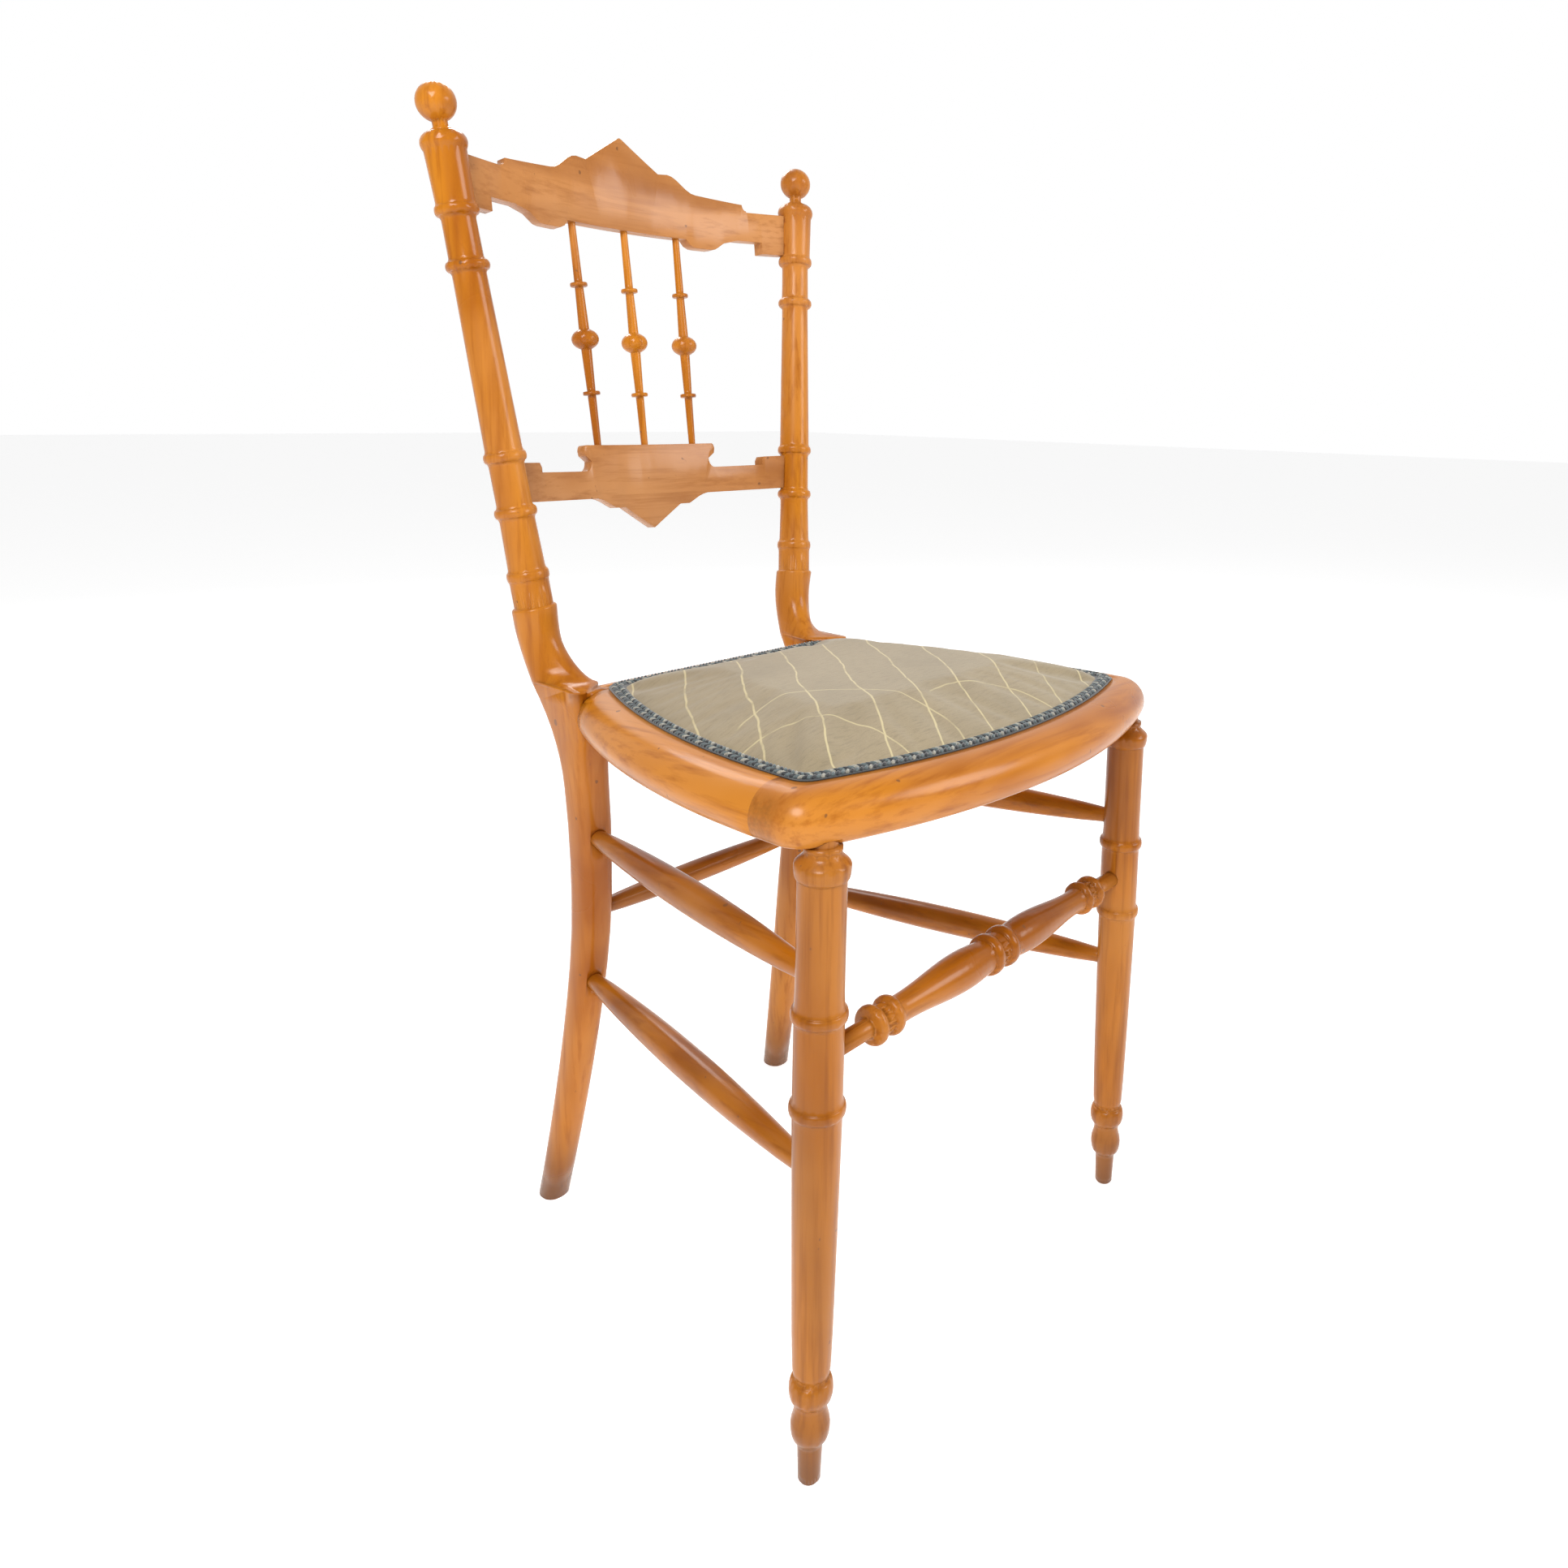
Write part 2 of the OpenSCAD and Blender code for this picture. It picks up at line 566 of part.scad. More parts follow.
function quarter(p, q, n) = [for (i = [0 : n]) let (a = 90 * i / n)
    [mix(p[0], q[0], sin(a)), mix(p[1], q[1], 1 - cos(a))]];
leg_profile = concat(
    [[foot_r - foot_round, -foot_extra], [foot_r - foot_round, foot_round / 2],
        [foot_r, foot_round * 1.5], [pin_r, pin_h]],
    quarter([pin_r + foot_round, pin_h], [skirt_r, skirt_z - foot_round], 5),
    [[skirt_r, skirt_z]],
    ogee([skirt_r, skirt_z], [foot_cove_r, skirt_z + cove_rise], 4),
    [[foot_cove_r, skirt_z + cove_rise]],
    bead(foot_bead_z, bead_half, foot_cove_r + foot_round / 2, foot_bead_r),
    quarter([taper_low_r - taper_round, taper_start], [taper_low_r, body_low], 3),
    [for (i = [1 : body_steps]) let (z = mix(body_low, body_top, i / body_steps)) [leg_body(z), z]],
    ring(leg_low_ring_z, taper_top_r, taper_top_r, leg_ring_r),
    ring(leg_top_ring_z, taper_top_r, mix(taper_top_r, leg_top_r, 0.5), leg_ring_r),
    [[leg_top_r, leg_top_ring_z + 2 * ring_reach], [leg_top_r, collar_z - collar_half]],
    quarter([leg_top_r + foot_round / 4, collar_z - collar_half + foot_round / 4], [collar_r, collar_z], 5),
    ogee([collar_r, collar_z], [top_ring_r - foot_round / 2, leg_end - neck_drop + foot_round], 6),
    [[top_ring_r - foot_round / 2, leg_end - neck_drop + foot_round],
        [top_ring_r, leg_end - neck_drop + 2 * foot_round], [top_ring_r, leg_end],
        [leg_tenon_r, leg_end], [leg_tenon_r, leg_len + leg_tenon_l - foot_round],
        [leg_tenon_r - foot_round, leg_len + leg_tenon_l]]);
module leg_socket() along(leg_foot, leg_top) translate([0, 0, leg_len - skin])
    cylinder(r = leg_tenon_r + glue_gap, h = leg_tenon_l + end_gap + skin);

// Rear posts: the sabre leg and the moulded ear are skinned over level sections
flare_power = 1.5;
bend_half_l = 16.3;
leg_rings = 12;
block_rings = 7;
post_points = 36;
foot_squareness = 2.3;
bend_squareness = 3;
block_squareness = 5;
ear_rings = 15;
ear_points = 60;
ear_t = 1.6;
ear_corner_r = 6;
ear_nose_power = 0.55;
ear_corner_power = 0.18;
ear_spacing_power = 1.6;
ear_tilt_start_share = 0.4;
edge_rings = 4;
shoulder_round = 2.4;
blend_drop = 9;
blend_tuck = 1.2;
function post_x(z) = z < waist_z
    ? waist_x + (rear_foot_x - waist_x) * pow((waist_z - z) / waist_z, flare_power)
    : waist_x + (shoulder_x - waist_x) * pow((z - waist_z) / (shoulder_z - waist_z), flare_power);
function post_mid_y(z) = bend_y + (rear_foot_y - bend_y) * pow(max(0, bend_z - z) / bend_z, flare_power);
function post_half(z) = z < bend_z ? mix(rear_foot_r, post_half_w, z / bend_z)
    : mix(post_half_w, shoulder_r, pow((z - bend_z) / (shoulder_z - bend_z), 2));
function post_point(z) = [-post_x(z), post_mid_y(z), z];
function signed_pow(v, p) = sign(v) * pow(abs(v), p);
function post_ring(z, front, back, squareness, back_squareness) =
    let (w = post_half(z), l = min(w, (back - front) / 2))
    [for (i = [0 : post_points - 1])
        let (a = 360 * i / post_points, q = sin(a) > 0 ? back_squareness : squareness,
            s = signed_pow(sin(a), 2 / q))
        [-post_x(z) + w * signed_pow(cos(a), 2 / q),
            (s > 0 ? back - l : front + l) + l * s, z]];
leg_stack = [for (i = [0 : leg_rings])
    let (t = i / leg_rings, z = bend_z * t, h = mix(rear_foot_r, bend_half_l, t))
    post_ring(z, post_mid_y(z) - h, post_mid_y(z) + h, mix(foot_squareness, bend_squareness, t),
        foot_squareness)];
bend_front = bend_y - bend_half_l;
bend_back = bend_y + bend_half_l;
block_stack = [for (i = [1 : block_rings])
    let (t = i / block_rings, z = mix(bend_z, seat_top_z, t),
        f = min(1, (z - bend_z) / (frame_low_z - bend_z)))
    post_ring(z, mix(bend_front, frame_end_y, pow(f, 3)), mix(bend_back, post_back_y, t * t),
        mix(bend_squareness, block_squareness, f), mix(foot_squareness, 2, f))];
shoulder_back = shoulder_y + shoulder_r;
back_rise = shoulder_z - blend_drop - seat_top_z;
function back_line(z) = mix(post_back_y, shoulder_back, sin(90 * min(1, (z - seat_top_z) / back_rise)));
lean = [-tan(upright_spread), sin(upright_recline), cos(upright_recline)];

// At every height the ear is drawn tight around three circles: the post's own, one at its nose and one at
// its outer corner. The last two draw back into the first towards the shoulder, and the rings tilt there to
// stand square to the upright.
function ear_post(z) = [-post_x(z), back_line(z) - post_half(z)];
ear_foot = ear_post(seat_top_z);
ear_nose = [-ear_nose_x, ear_nose_y];
ear_corner = [ear_foot.x - post_half(seat_top_z), frame_end_y - ear_reach] + ear_corner_r * [1, 1];
function ear_circles(z, u) = let (c = ear_post(z), w = post_half(z), s = sin(90 * u))
    [[c, w],
     [c + (ear_nose - ear_foot) * (1 - pow(s, ear_nose_power)), mix(ear_nose_r, w, u)],
     [c + (ear_corner - ear_foot) * (1 - pow(s, ear_corner_power)), mix(ear_corner_r, w, u)]];
function furthest(circles, d) = let (top = max([for (q = circles) q[0] * d + q[1]]))
    [for (q = circles) if (q[0] * d + q[1] == top) q[0] + d * q[1]][0];
function tilted(p, c, z, tilt) = let (d = p - c)
    [p.x, p.y, z - tilt * (lean.x * d.x + lean.y * d.y) / lean.z];
function ear_ring(z, u) =
    let (circles = ear_circles(z, u),
        tilt = ease(max(0, u - ear_tilt_start_share) / (1 - ear_tilt_start_share)))
    [for (i = [0 : ear_points - 1]) let (a = 360 * i / ear_points)
        tilted(furthest(circles, [cos(a), sin(a)]), circles[0][0], z, tilt)];
function edge_ring(rise, r) = let (c = [-shoulder_x, shoulder_y, shoulder_z] + lean * rise)
    [for (i = [0 : ear_points - 1]) let (a = 360 * i / ear_points)
        tilted([c.x + r * cos(a), c.y + r * sin(a)], [c.x, c.y], c.z, 1)];
ear_stack = concat(
    [ear_ring(seat_top_z, 0)],
    [for (i = [0 : ear_rings]) let (u = pow(i / ear_rings, ear_spacing_power))
        ear_ring(mix(seat_top_z + ear_t, shoulder_z, u), u)],
    [for (i = [1 : edge_rings]) let (a = 90 * i / edge_rings)
        edge_ring(shoulder_round * sin(a), mix(upright_root_r - blend_tuck, shoulder_r, cos(a)))]);
module upright_frame()
    translate([0, shoulder_y, shoulder_z]) rotate([-upright_recline, 0, 0]) children();

// The turned upright of a rear post, as [radius, distance above the shoulder]
cap_half = 5.5;
cap_dome = 8;
fillet_r = 7.5;
neck_round = 1.6;
ball_steps = 18;
tip_share = 0.02;
neck_angle = asin(neck_r / ball_r);
cap_steps = 5;
top_swell = 0.25;
join_share = 0.4;
join_place_share = 0.48;
upright_profile = concat(
    [[upright_root_r, -blend_drop]],
    ring(ring_heights[0], upright_root_r, mix(upright_root_r, upright_low_r, 0.5), upright_ring_r),
    ring(ring_heights[1], upright_low_r, upright_low_r, upright_ring_r),
    ring(ring_heights[2], upright_low_r, upright_mid_r, upright_ring_r),
    [[mix(upright_mid_r, upright_top_r, join_share),
        mix(ring_heights[2], ring_heights[3], join_place_share)]],
    ring(ring_heights[3], upright_top_r + top_swell, upright_top_r + 2 * top_swell, upright_ring_r),
    ring(ring_heights[4], upright_top_r + top_swell, drum_low_r, upright_ring_r),
    [[drum_top_r, cap_h - cap_half]],
    [for (i = [1 : cap_steps]) let (t = i / cap_steps)
        [mix(drum_top_r, cap_r, sin(90 * t)), cap_h - cap_half * (1 - t)]],
    [for (i = [1 : cap_steps]) let (t = i / cap_steps)
        [mix(fillet_r, cap_r, cos(90 * t)), cap_h + cap_dome * sin(90 * t)]],
    [[fillet_r, cap_h + cap_dome + land], [neck_r, cap_h + cap_dome + land + neck_round]],
    [for (i = [0 : ball_steps]) let (a = mix(neck_angle, 180, i / ball_steps))
        [i == ball_steps ? ball_r * tip_share : ball_r * sin(a), upright_l - ball_r * cos(a)]]);

// Back rails: a curved sheet of wood cut to a fretted outline; x is sideways and y is up
core = 4;
spread = tan(upright_spread);
function post_line(h) = shoulder_x + spread * h;
crest_half = post_line(crest_ear_low_h);
low_half = post_line(low_rail_low_h);
crest_sheet_half = post_line(crest_ear_top_h);
low_sheet_half = post_line(low_rail_ear_h);
crest_circle = bow_radius(crest_half, crest_bow);
low_circle = bow_radius(low_half, low_rail_bow);
function rail_w(x, circle, bow) = rail_setback + bow - circle + sqrt(circle * circle - x * x);
sheet_steps = 28;
function bow_arc(circle, bow, x0, x1, offset, n) =
    [for (i = [0 : n]) let (x = mix(x0, x1, i / n), r = circle + offset)
        [x, rail_setback + bow - circle + sqrt(r * r - x * x)]];
function bow_plan(circle, bow, x0, x1, grow, n) =
    concat(bow_arc(circle, bow, x0, x1, -back_rail_t / 2 - grow, n),
        flip(bow_arc(circle, bow, x0, x1, back_rail_t / 2 + grow, n)));
module sheet(circle, bow, half, low, high)
    translate([0, 0, low]) linear_extrude(high - low)
        polygon(bow_plan(circle, bow, -half, half, 0, sheet_steps));
module fret(points)
    rotate([90, 0, 0]) translate([0, 0, -overrun]) linear_extrude(2 * overrun) polygon(points);
// The housing for a rail's end in the left post follows the rail's curve and is cut to the post's lean
housing_steps = 8;
housing_run = 2 * shoulder_r;
module rail_end(circle, bow, low, high, grow, extra)
    intersection() {
        translate([0, 0, low - grow]) linear_extrude(high - low + 2 * grow)
            let (x0 = -post_line(high))
            polygon(bow_plan(circle, bow, x0, x0 + housing_run, grow, housing_steps));
        fret([[-post_line(low) + core - extra, low - skin], [-post_line(low) + 2 * housing_run, low - skin],
            [-post_line(high) + 2 * housing_run, high + skin],
            [-post_line(high) + core - extra, high + skin]]);
    }

crest_step_share = 0.70;
crest_low_step_share = 0.80;
wing_rise = 3.5;
wing_share = 0.43;
hump_share = 0.27;
dip_share = 0.215;
dip = 0.9;
tip_run = 2;
lobe_shares = [0.355, 0.375, 0.40, 0.42, 0.50, 0.525, 0.545, 0.58, 0.66];
lobe_drop_shares = [0, 0.65, 0.95, 1.0, 1.0, 0.9, 0.6, 0, -0.5];
step_x = -crest_half * crest_step_share;
step_run = 2 * tip_run;
curve_steps = 6;
crest_top = concat(
    [[-post_line(crest_ear_top_h) + core, crest_ear_top_h], [step_x - step_run, crest_ear_top_h]],
    quarter([step_x - step_run, crest_ear_top_h + land], [step_x, crest_wing_h], curve_steps - 2),
    [[-crest_half * wing_share, crest_wing_h + wing_rise]],
    [for (i = [1 : curve_steps]) let (t = i / curve_steps)
        [-crest_half * mix(wing_share, hump_share, t), mix(crest_wing_h + wing_rise, crest_hump_h, ease(t))]],
    [[-crest_half * dip_share, crest_hump_h - dip], [-tip_run, crest_peak_h - dip], [0, crest_peak_h]]);
crest_under = concat(
    [[0, crest_low_h]],
    [for (i = [0 : len(lobe_shares) - 1])
        [-crest_half * lobe_shares[i], mix(crest_low_h, crest_ear_low_h, lobe_drop_shares[i])]],
    [[-crest_half * crest_low_step_share, crest_low_h + wing_rise],
        [-crest_half * crest_low_step_share, crest_ear_low_h],
        [-post_line(crest_ear_low_h) + core, crest_ear_low_h]]);

low_step_share = 0.80;
notch_share = 0.912;
notch_rise_share = 0.38;
lip_rise_share = 0.6;
lip_round = 1.5;
point_shares = [0.86, 0.79, 0.72, 0.64, 0.57, 0.43];
point_drop_shares = [0, 0.04, 0.11, 0.22, 0.31, 0.31];
notch_h = mix(low_rail_arm_h, platform_h, notch_rise_share);
low_step_x = -low_half * low_step_share;
low_top = concat(
    [[-post_line(low_rail_ear_h) + core, low_rail_ear_h], [low_step_x, low_rail_ear_h],
        [low_step_x + tip_run, (low_rail_arm_h + low_rail_ear_h) / 2],
        [low_step_x + tip_run, low_rail_arm_h]],
    quarter([-platform_half, low_rail_arm_h], [-platform_half * notch_share, notch_h], curve_steps - 1),
    [[-platform_half, mix(low_rail_arm_h, platform_h, lip_rise_share)],
        [-platform_half - lip_round / 2, platform_h - 3 * lip_round],
        [-platform_half, platform_h - lip_round],
        [-platform_half + lip_round, platform_h], [0, platform_h]]);
low_under = concat(
    [[0, low_point_h]],
    flip([for (i = [0 : len(point_shares) - 1])
        [-platform_half * point_shares[i], mix(low_rail_low_h, low_point_h, point_drop_shares[i])]]),
    [[-platform_half, low_rail_low_h], [-post_line(low_rail_low_h) + core, low_rail_low_h]]);
function closed_fret(top, under) =
    concat(both_sides(top), [for (p = flip(under)) if (p.x != 0) [-p.x, p.y]], under);

// Spindles between the two back rails
ball_share = 0.481;
ring_t = 2.7;
spindle_feet = [[-spindle_low_x, -spindle_top_x], [0, 0], [spindle_low_x, spindle_top_x]];
function spindle_low(i) = let (x = spindle_feet[i][0]) [x, rail_w(x, low_circle, low_rail_bow), platform_h];
function spindle_top(i) = let (x = spindle_feet[i][1]) [x, rail_w(x, crest_circle, crest_bow), crest_low_h];
spindle_len = crest_low_h - platform_h;
ball_at = spindle_len * ball_share;
disc_root = 0.5;
disc_round = 0.3;
disc_root_r = spindle_end_r + disc_root;
disc_edge_r = spindle_ring_r - disc_round;
function disc(z) = [[disc_root_r, z - ring_t / 2], [disc_edge_r, z - ring_t / 2], [spindle_ring_r, z],
    [disc_edge_r, z + ring_t / 2], [disc_root_r, z + ring_t / 2]];
ball_angle = 72;
spindle_ball_steps = 10;
spindle_profile = concat(
    [[spindle_end_r, -spindle_tenon_l], [spindle_end_r, land]],
    disc(ball_at - spindle_ring_gap),
    [for (i = [0 : spindle_ball_steps]) let (a = mix(-ball_angle, ball_angle, i / spindle_ball_steps))
        [i == 0 || i == spindle_ball_steps ? spindle_mid_r : spindle_ball_r * cos(a),
            ball_at + spindle_ball_half * sin(a)]],
    disc(ball_at + spindle_ring_gap),
    [[spindle_end_r, spindle_len - land], [spindle_end_r, spindle_len + spindle_tenon_l]]);
module spindle_bores() for (i = [0 : 2]) along(spindle_low(i), spindle_top(i))
    translate([0, 0, -spindle_tenon_l - end_gap]) rotate([0, 0, seam_turn])
        cylinder(r = spindle_end_r + glue_gap, h = spindle_len + 2 * (spindle_tenon_l + end_gap));

// Stretchers: plain ones swell to the middle, and their round ends sit in the legs
upper_bar = [leg_point(upper_stretcher_z), post_point(upper_stretcher_z - stretcher_fall)];
lower_bar = [leg_point(lower_stretcher_z), post_point(lower_stretcher_z - stretcher_fall)];
back_bar = [post_point(back_stretcher_z), flipped(post_point(back_stretcher_z))];
front_bar = [leg_point(front_stretcher_z), flipped(leg_point(front_stretcher_z))];
tenon_run = 12.5;
bar_steps = 16;
bar_power = 0.8;
function unit(bar) = (bar[1] - bar[0]) / norm(bar[1] - bar[0]);
module bar_bore(bar, from_start, r) {
    p = from_start ? bar[0] : bar[1];
    q = from_start ? bar[1] : bar[0];
    along(p + (q - p) / norm(q - p) * (socket_reach - end_gap), q)
        cylinder(r = r + glue_gap, h = 2 * leg_ring_r);
}
module plain_bar(bar, end_r, mid_r) {
    l = norm(bar[1] - bar[0]) - 2 * socket_reach;
    along(bar[0] + unit(bar) * socket_reach, bar[1]) turned(concat(
        [[end_r, 0]],
        [for (i = [0 : bar_steps]) let (t = i / bar_steps)
            [mix(end_r, mid_r, pow(sin(180 * t), bar_power)), mix(tenon_run, l - tenon_run, t)]],
        [[end_r, l]]));
}

// The turning of the front stretcher, from its middle to one end
mid_bead_at = 9;
mid_bead_half = 5.2;
mid_root_r = 12;
vase_start = 17;
vase_end_drop = 18;
vase_start_r = 11.8;
vase_peak_share = 0.25;
end_bead_half = 4.2;
end_bead_gap_half = 8;
end_root_r = 9.6;
vase_steps = 12;
vase_end = end_bead_gap - vase_end_drop;
function vase_r(t) = t < vase_peak_share
    ? mix(vase_start_r, vase_full_r, sin(90 * t / vase_peak_share))
    : mix(vase_full_r, vase_thin_r, ease((t - vase_peak_share) / (1 - vase_peak_share)));
half_turning = concat(
    bead(mid_bead_at, mid_bead_half, mid_root_r, middle_bead_r),
    [for (i = [0 : vase_steps]) let (t = i / vase_steps) [vase_r(t), mix(vase_start, vase_end, t)]],
    bead(end_bead_gap - end_bead_gap_half, end_bead_half, end_root_r, end_bead_r),
    bead(end_bead_gap + end_bead_gap_half, end_bead_half, end_root_r, end_bead_r),
    [[front_stretcher_end_r, end_bead_gap + end_bead_gap_half + end_bead_half + land]]);

// Upholstery: the crown rises inwards from the flat margin under the gimp
soft_steps = 5;
gimp_lap = 2;
crown_start = border_w + gimp_w - gimp_lap;
crown_reach = 90;
crown_power = 8;
crown_shares = [0.03, 0.07, 0.14, 0.25, 0.42, 0.66, 1];
crown_peak = seat_top_z + crown_h;
crown_edge = 0.25;
stuffing_edge = 1;
stuffing_foot = 2;
stuffing_inset = 3;
lining_inset = 1;
min_front_r = 13;
function soft_ring(inset, z) =
    let (half = left_outline(inset, rebate_rear_y + border_w - inset, min_front_r, trim_rear_r, soft_steps),
        rear = half[0], first = len(half) - 1, n = 2 * soft_steps,
        ring = concat(both_sides(half), [for (i = [1 : n - 1]) [mix(-rear.x, rear.x, i / n), rear.y]]))
    [for (i = [0 : len(ring) - 1]) let (p = ring[(i + first) % len(ring)]) [p.x, p.y, z]];
function crown_z(s, low, high) = mix(low, high, 1 - pow(1 - s, crown_power));
function crown_rings(low, high, push) =
    [for (s = crown_shares) soft_ring(crown_start + push + crown_reach * s, crown_z(s, low, high))];

// Cuts everything that lies beyond a plane
cut_reach = 10 * overrun;
module half_space(at, dir)
    translate(at) rotate(dir) translate([-cut_reach, -cut_reach, 0]) cube(2 * cut_reach);
module below_floor() half_space([0, 0, 0], [180, 0, 0]);
module behind(y) half_space([0, y, 0], [-90, 0, 0]);
module before(y) half_space([0, y, 0], [90, 0, 0]);

module rear_post(side) color(honey) centred() on_side(side) difference() {
    union() {
        stacked(concat(leg_stack, block_stack));
        stacked(ear_stack);
        upright_frame() difference() {
            translate([-shoulder_x, 0, 0]) rotate([0, -upright_spread, 0]) turned(upright_profile);
            rail_end(crest_circle, crest_bow, crest_ear_low_h, crest_ear_top_h, glue_gap, end_gap);
            rail_end(low_circle, low_rail_bow, low_rail_low_h, low_rail_ear_h, glue_gap, end_gap);
        }
    }
    back_rail_blank(post_inner_x);
    rear_dowels(glue_gap, end_gap);
    side_dowel(glue_gap, end_gap);
    bar_bore(upper_bar, false, stretcher_end_r);
    bar_bore(lower_bar, false, stretcher_end_r);
    bar_bore(back_bar, true, stretcher_end_r);
}
module rear_post_left() rear_post(LEFT);
module rear_post_right() rear_post(RIGHT);

module crest_rail() color(honey) centred() upright_frame() difference() {
    intersection() {
        sheet(crest_circle, crest_bow, crest_sheet_half, crest_ear_low_h - skin, crest_peak_h + skin);
        fret(closed_fret(crest_top, crest_under));
    }
    spindle_bores();
}
module lower_back_rail() color(honey) centred() upright_frame() difference() {
    intersection() {
        sheet(low_circle, low_rail_bow, low_sheet_half, low_point_h - skin, platform_h + skin);
        fret(closed_fret(low_top, low_under));
    }
    spindle_bores();
}
module back_spindle(i) color(honey) centred() upright_frame()
    along(spindle_low(i), spindle_top(i)) turned(spindle_profile);
module back_spindle_left() back_spindle(0);
module back_spindle_centre() back_spindle(1);
module back_spindle_right() back_spindle(2);

module front_leg(side) color(honey) centred() on_side(side) difference() {
    along(leg_foot, leg_top) rotate([0, 0, seam_turn]) turned(leg_profile);
    below_floor();
    bar_bore(upper_bar, true, stretcher_end_r);
    bar_bore(lower_bar, true, stretcher_end_r);
    bar_bore(front_bar, true, front_stretcher_end_r);
}
module front_leg_left() front_leg(LEFT);
module front_leg_right() front_leg(RIGHT);

corner = corner_c(0, corner_r);
a_rear = heading(side_c, [-frame_rear_half, frame_end_y]) - tail_angle;
a_side = heading(side_c, corner);
// The front rail carries both rounded corners, so it is skinned over its outline at every height
rim_steps = 6;
function rim_ring(inset, z) =
    [for (p = outline(inset, 0, corner_r - inset, trim_rear_r, rim_steps)) [p.x, p.y, z]];
rim_section = nose(0, rail_depth);
rim_rings = [for (i = [1 : len(rim_section) - 2]) let (p = rim_section[i]) rim_ring(-p.x, frame_low_z + p.y)];
module seat_front_rail() color(honey) centred() difference() {
    stacked(rim_rings);
    seat_opening();
    behind(rail_joint_y);
    tack_bores(front_web_tacks, tack_l);
    tack_bores(front_cover_tacks, cover_tack_l);
    for (side = [LEFT, RIGHT]) on_side(side) {
        leg_socket();
        front_dowels(glue_gap, end_gap);
    }
}
module seat_side_rail(side) color(honey) centred() on_side(side) difference() {
    rail_arc(side_c, side_r, a_rear, a_side, rail_depth);
    seat_opening();
    before(rail_joint_y);
    behind(frame_end_y - shoulder_gap);
    translate([-post_inner_x, opening_rear_y - shoulder_gap, frame_low_z - skin])
        cube([overrun, overrun, frame_h + 2 * skin]);
    tack_bores(side_web_tacks, tack_l);
    tack_bores(side_cover_tacks, cover_tack_l);
    front_dowels(glue_gap, end_gap);
    rear_dowels(glue_gap, end_gap);
}
module seat_left_rail() seat_side_rail(LEFT);
module seat_right_rail() seat_side_rail(RIGHT);

module back_rail_blank(half)
    translate([half, 0, frame_low_z]) rotate([90, 0, -90]) mirror([1, 0, 0]) linear_extrude(2 * half)
        polygon(nose(back_rail_y, back_rail_w));
module seat_back_rail() color(honey) centred() difference() {
    back_rail_blank(post_inner_x - shoulder_gap);
    seat_opening();
    tack_bores(rear_web_tacks, tack_l);
    tack_bores(rear_cover_tacks, cover_tack_l);
    for (side = [LEFT, RIGHT]) on_side(side) side_dowel(glue_gap, end_gap);
}

module front_stretcher() color(honey) centred() {
    l = norm(front_bar[1] - front_bar[0]) / 2;
    off = front_stretcher_offset;
    along(front_bar[0], front_bar[1]) translate([0, 0, l + off]) turned(concat(
        [[front_stretcher_end_r, socket_reach - l - off]],
        [for (p = flip(half_turning)) [p[0], -p[1]]],
        half_turning,
        [[front_stretcher_end_r, l - off - socket_reach]]));
}
module back_stretcher() color(honey) centred() plain_bar(back_bar, stretcher_end_r, back_stretcher_r);
module side_stretcher(bar, side) color(honey) centred() on_side(side)
    plain_bar(bar, stretcher_end_r, side_stretcher_r);
module upper_left_stretcher() side_stretcher(upper_bar, LEFT);
module upper_right_stretcher() side_stretcher(upper_bar, RIGHT);
module lower_left_stretcher() side_stretcher(lower_bar, LEFT);
module lower_right_stretcher() side_stretcher(lower_bar, RIGHT);

module seat_dowels() color(honey) centred() for (side = [LEFT, RIGHT]) on_side(side) {
    front_dowels(0, 0);
    rear_dowels(0, 0);
    side_dowel(0, 0);
}

module webbing_lengthwise() color(jute) centred() difference() {
    for (i = strips) translate([i * webbing_pitch_x - webbing_w / 2, strip_front(i), ledge_z])
        cube([webbing_w, rebate_rear_y - webbing_margin - strip_front(i), webbing_t]);
    tack_bores(concat(front_web_tacks, rear_web_tacks), tack_l);
}
module webbing_crosswise() color(jute) centred() difference() {
    for (j = strips) translate([0, strip_y(j) + webbing_w / 2, ledge_z]) rotate([90, 0, 0])
        linear_extrude(webbing_w) polygon(concat(weave(j), [for (p = flip(weave(j))) p + [0, webbing_t]]));
    for (side = [LEFT, RIGHT]) on_side(side) tack_bores(side_web_tacks, tack_l);
}
module webbing_tacks() color(steel) centred() {
    tacks(concat(front_web_tacks, rear_web_tacks), tack_l);
    for (side = [LEFT, RIGHT]) on_side(side) tacks(side_web_tacks, tack_l);
}
module seat_hessian() color(jute) centred() translate([0, 0, hessian_z]) linear_extrude(hessian_t)
    polygon(outline(cloth_inset, rebate_rear_y + border_w - cloth_inset, min_front_r, trim_rear_r,
        outline_steps));
module seat_stuffing() color(jute) centred() stacked(concat(
    [for (z = [margin_z, margin_z + stuffing_edge]) soft_ring(crown_start + stuffing_foot, z)],
    crown_rings(margin_top_z - cover_t, crown_peak - cover_t - sheet_gap, stuffing_inset)));
module seat_cover() color(olive) centred() stacked(concat(
    flip(crown_rings(margin_z + crown_edge, crown_peak - cover_t, lining_inset)),
    [soft_ring(crown_start, margin_z), soft_ring(cloth_inset, margin_z), soft_ring(cloth_inset, margin_top_z),
        soft_ring(crown_start, margin_top_z)],
    crown_rings(margin_top_z + crown_edge, crown_peak, 0)));
module cover_tacks() color(steel) centred() {
    tacks(concat(front_cover_tacks, rear_cover_tacks), cover_tack_l);
    for (side = [LEFT, RIGHT]) on_side(side) tacks(side_cover_tacks, cover_tack_l);
}
gimp_lip = 1.5;
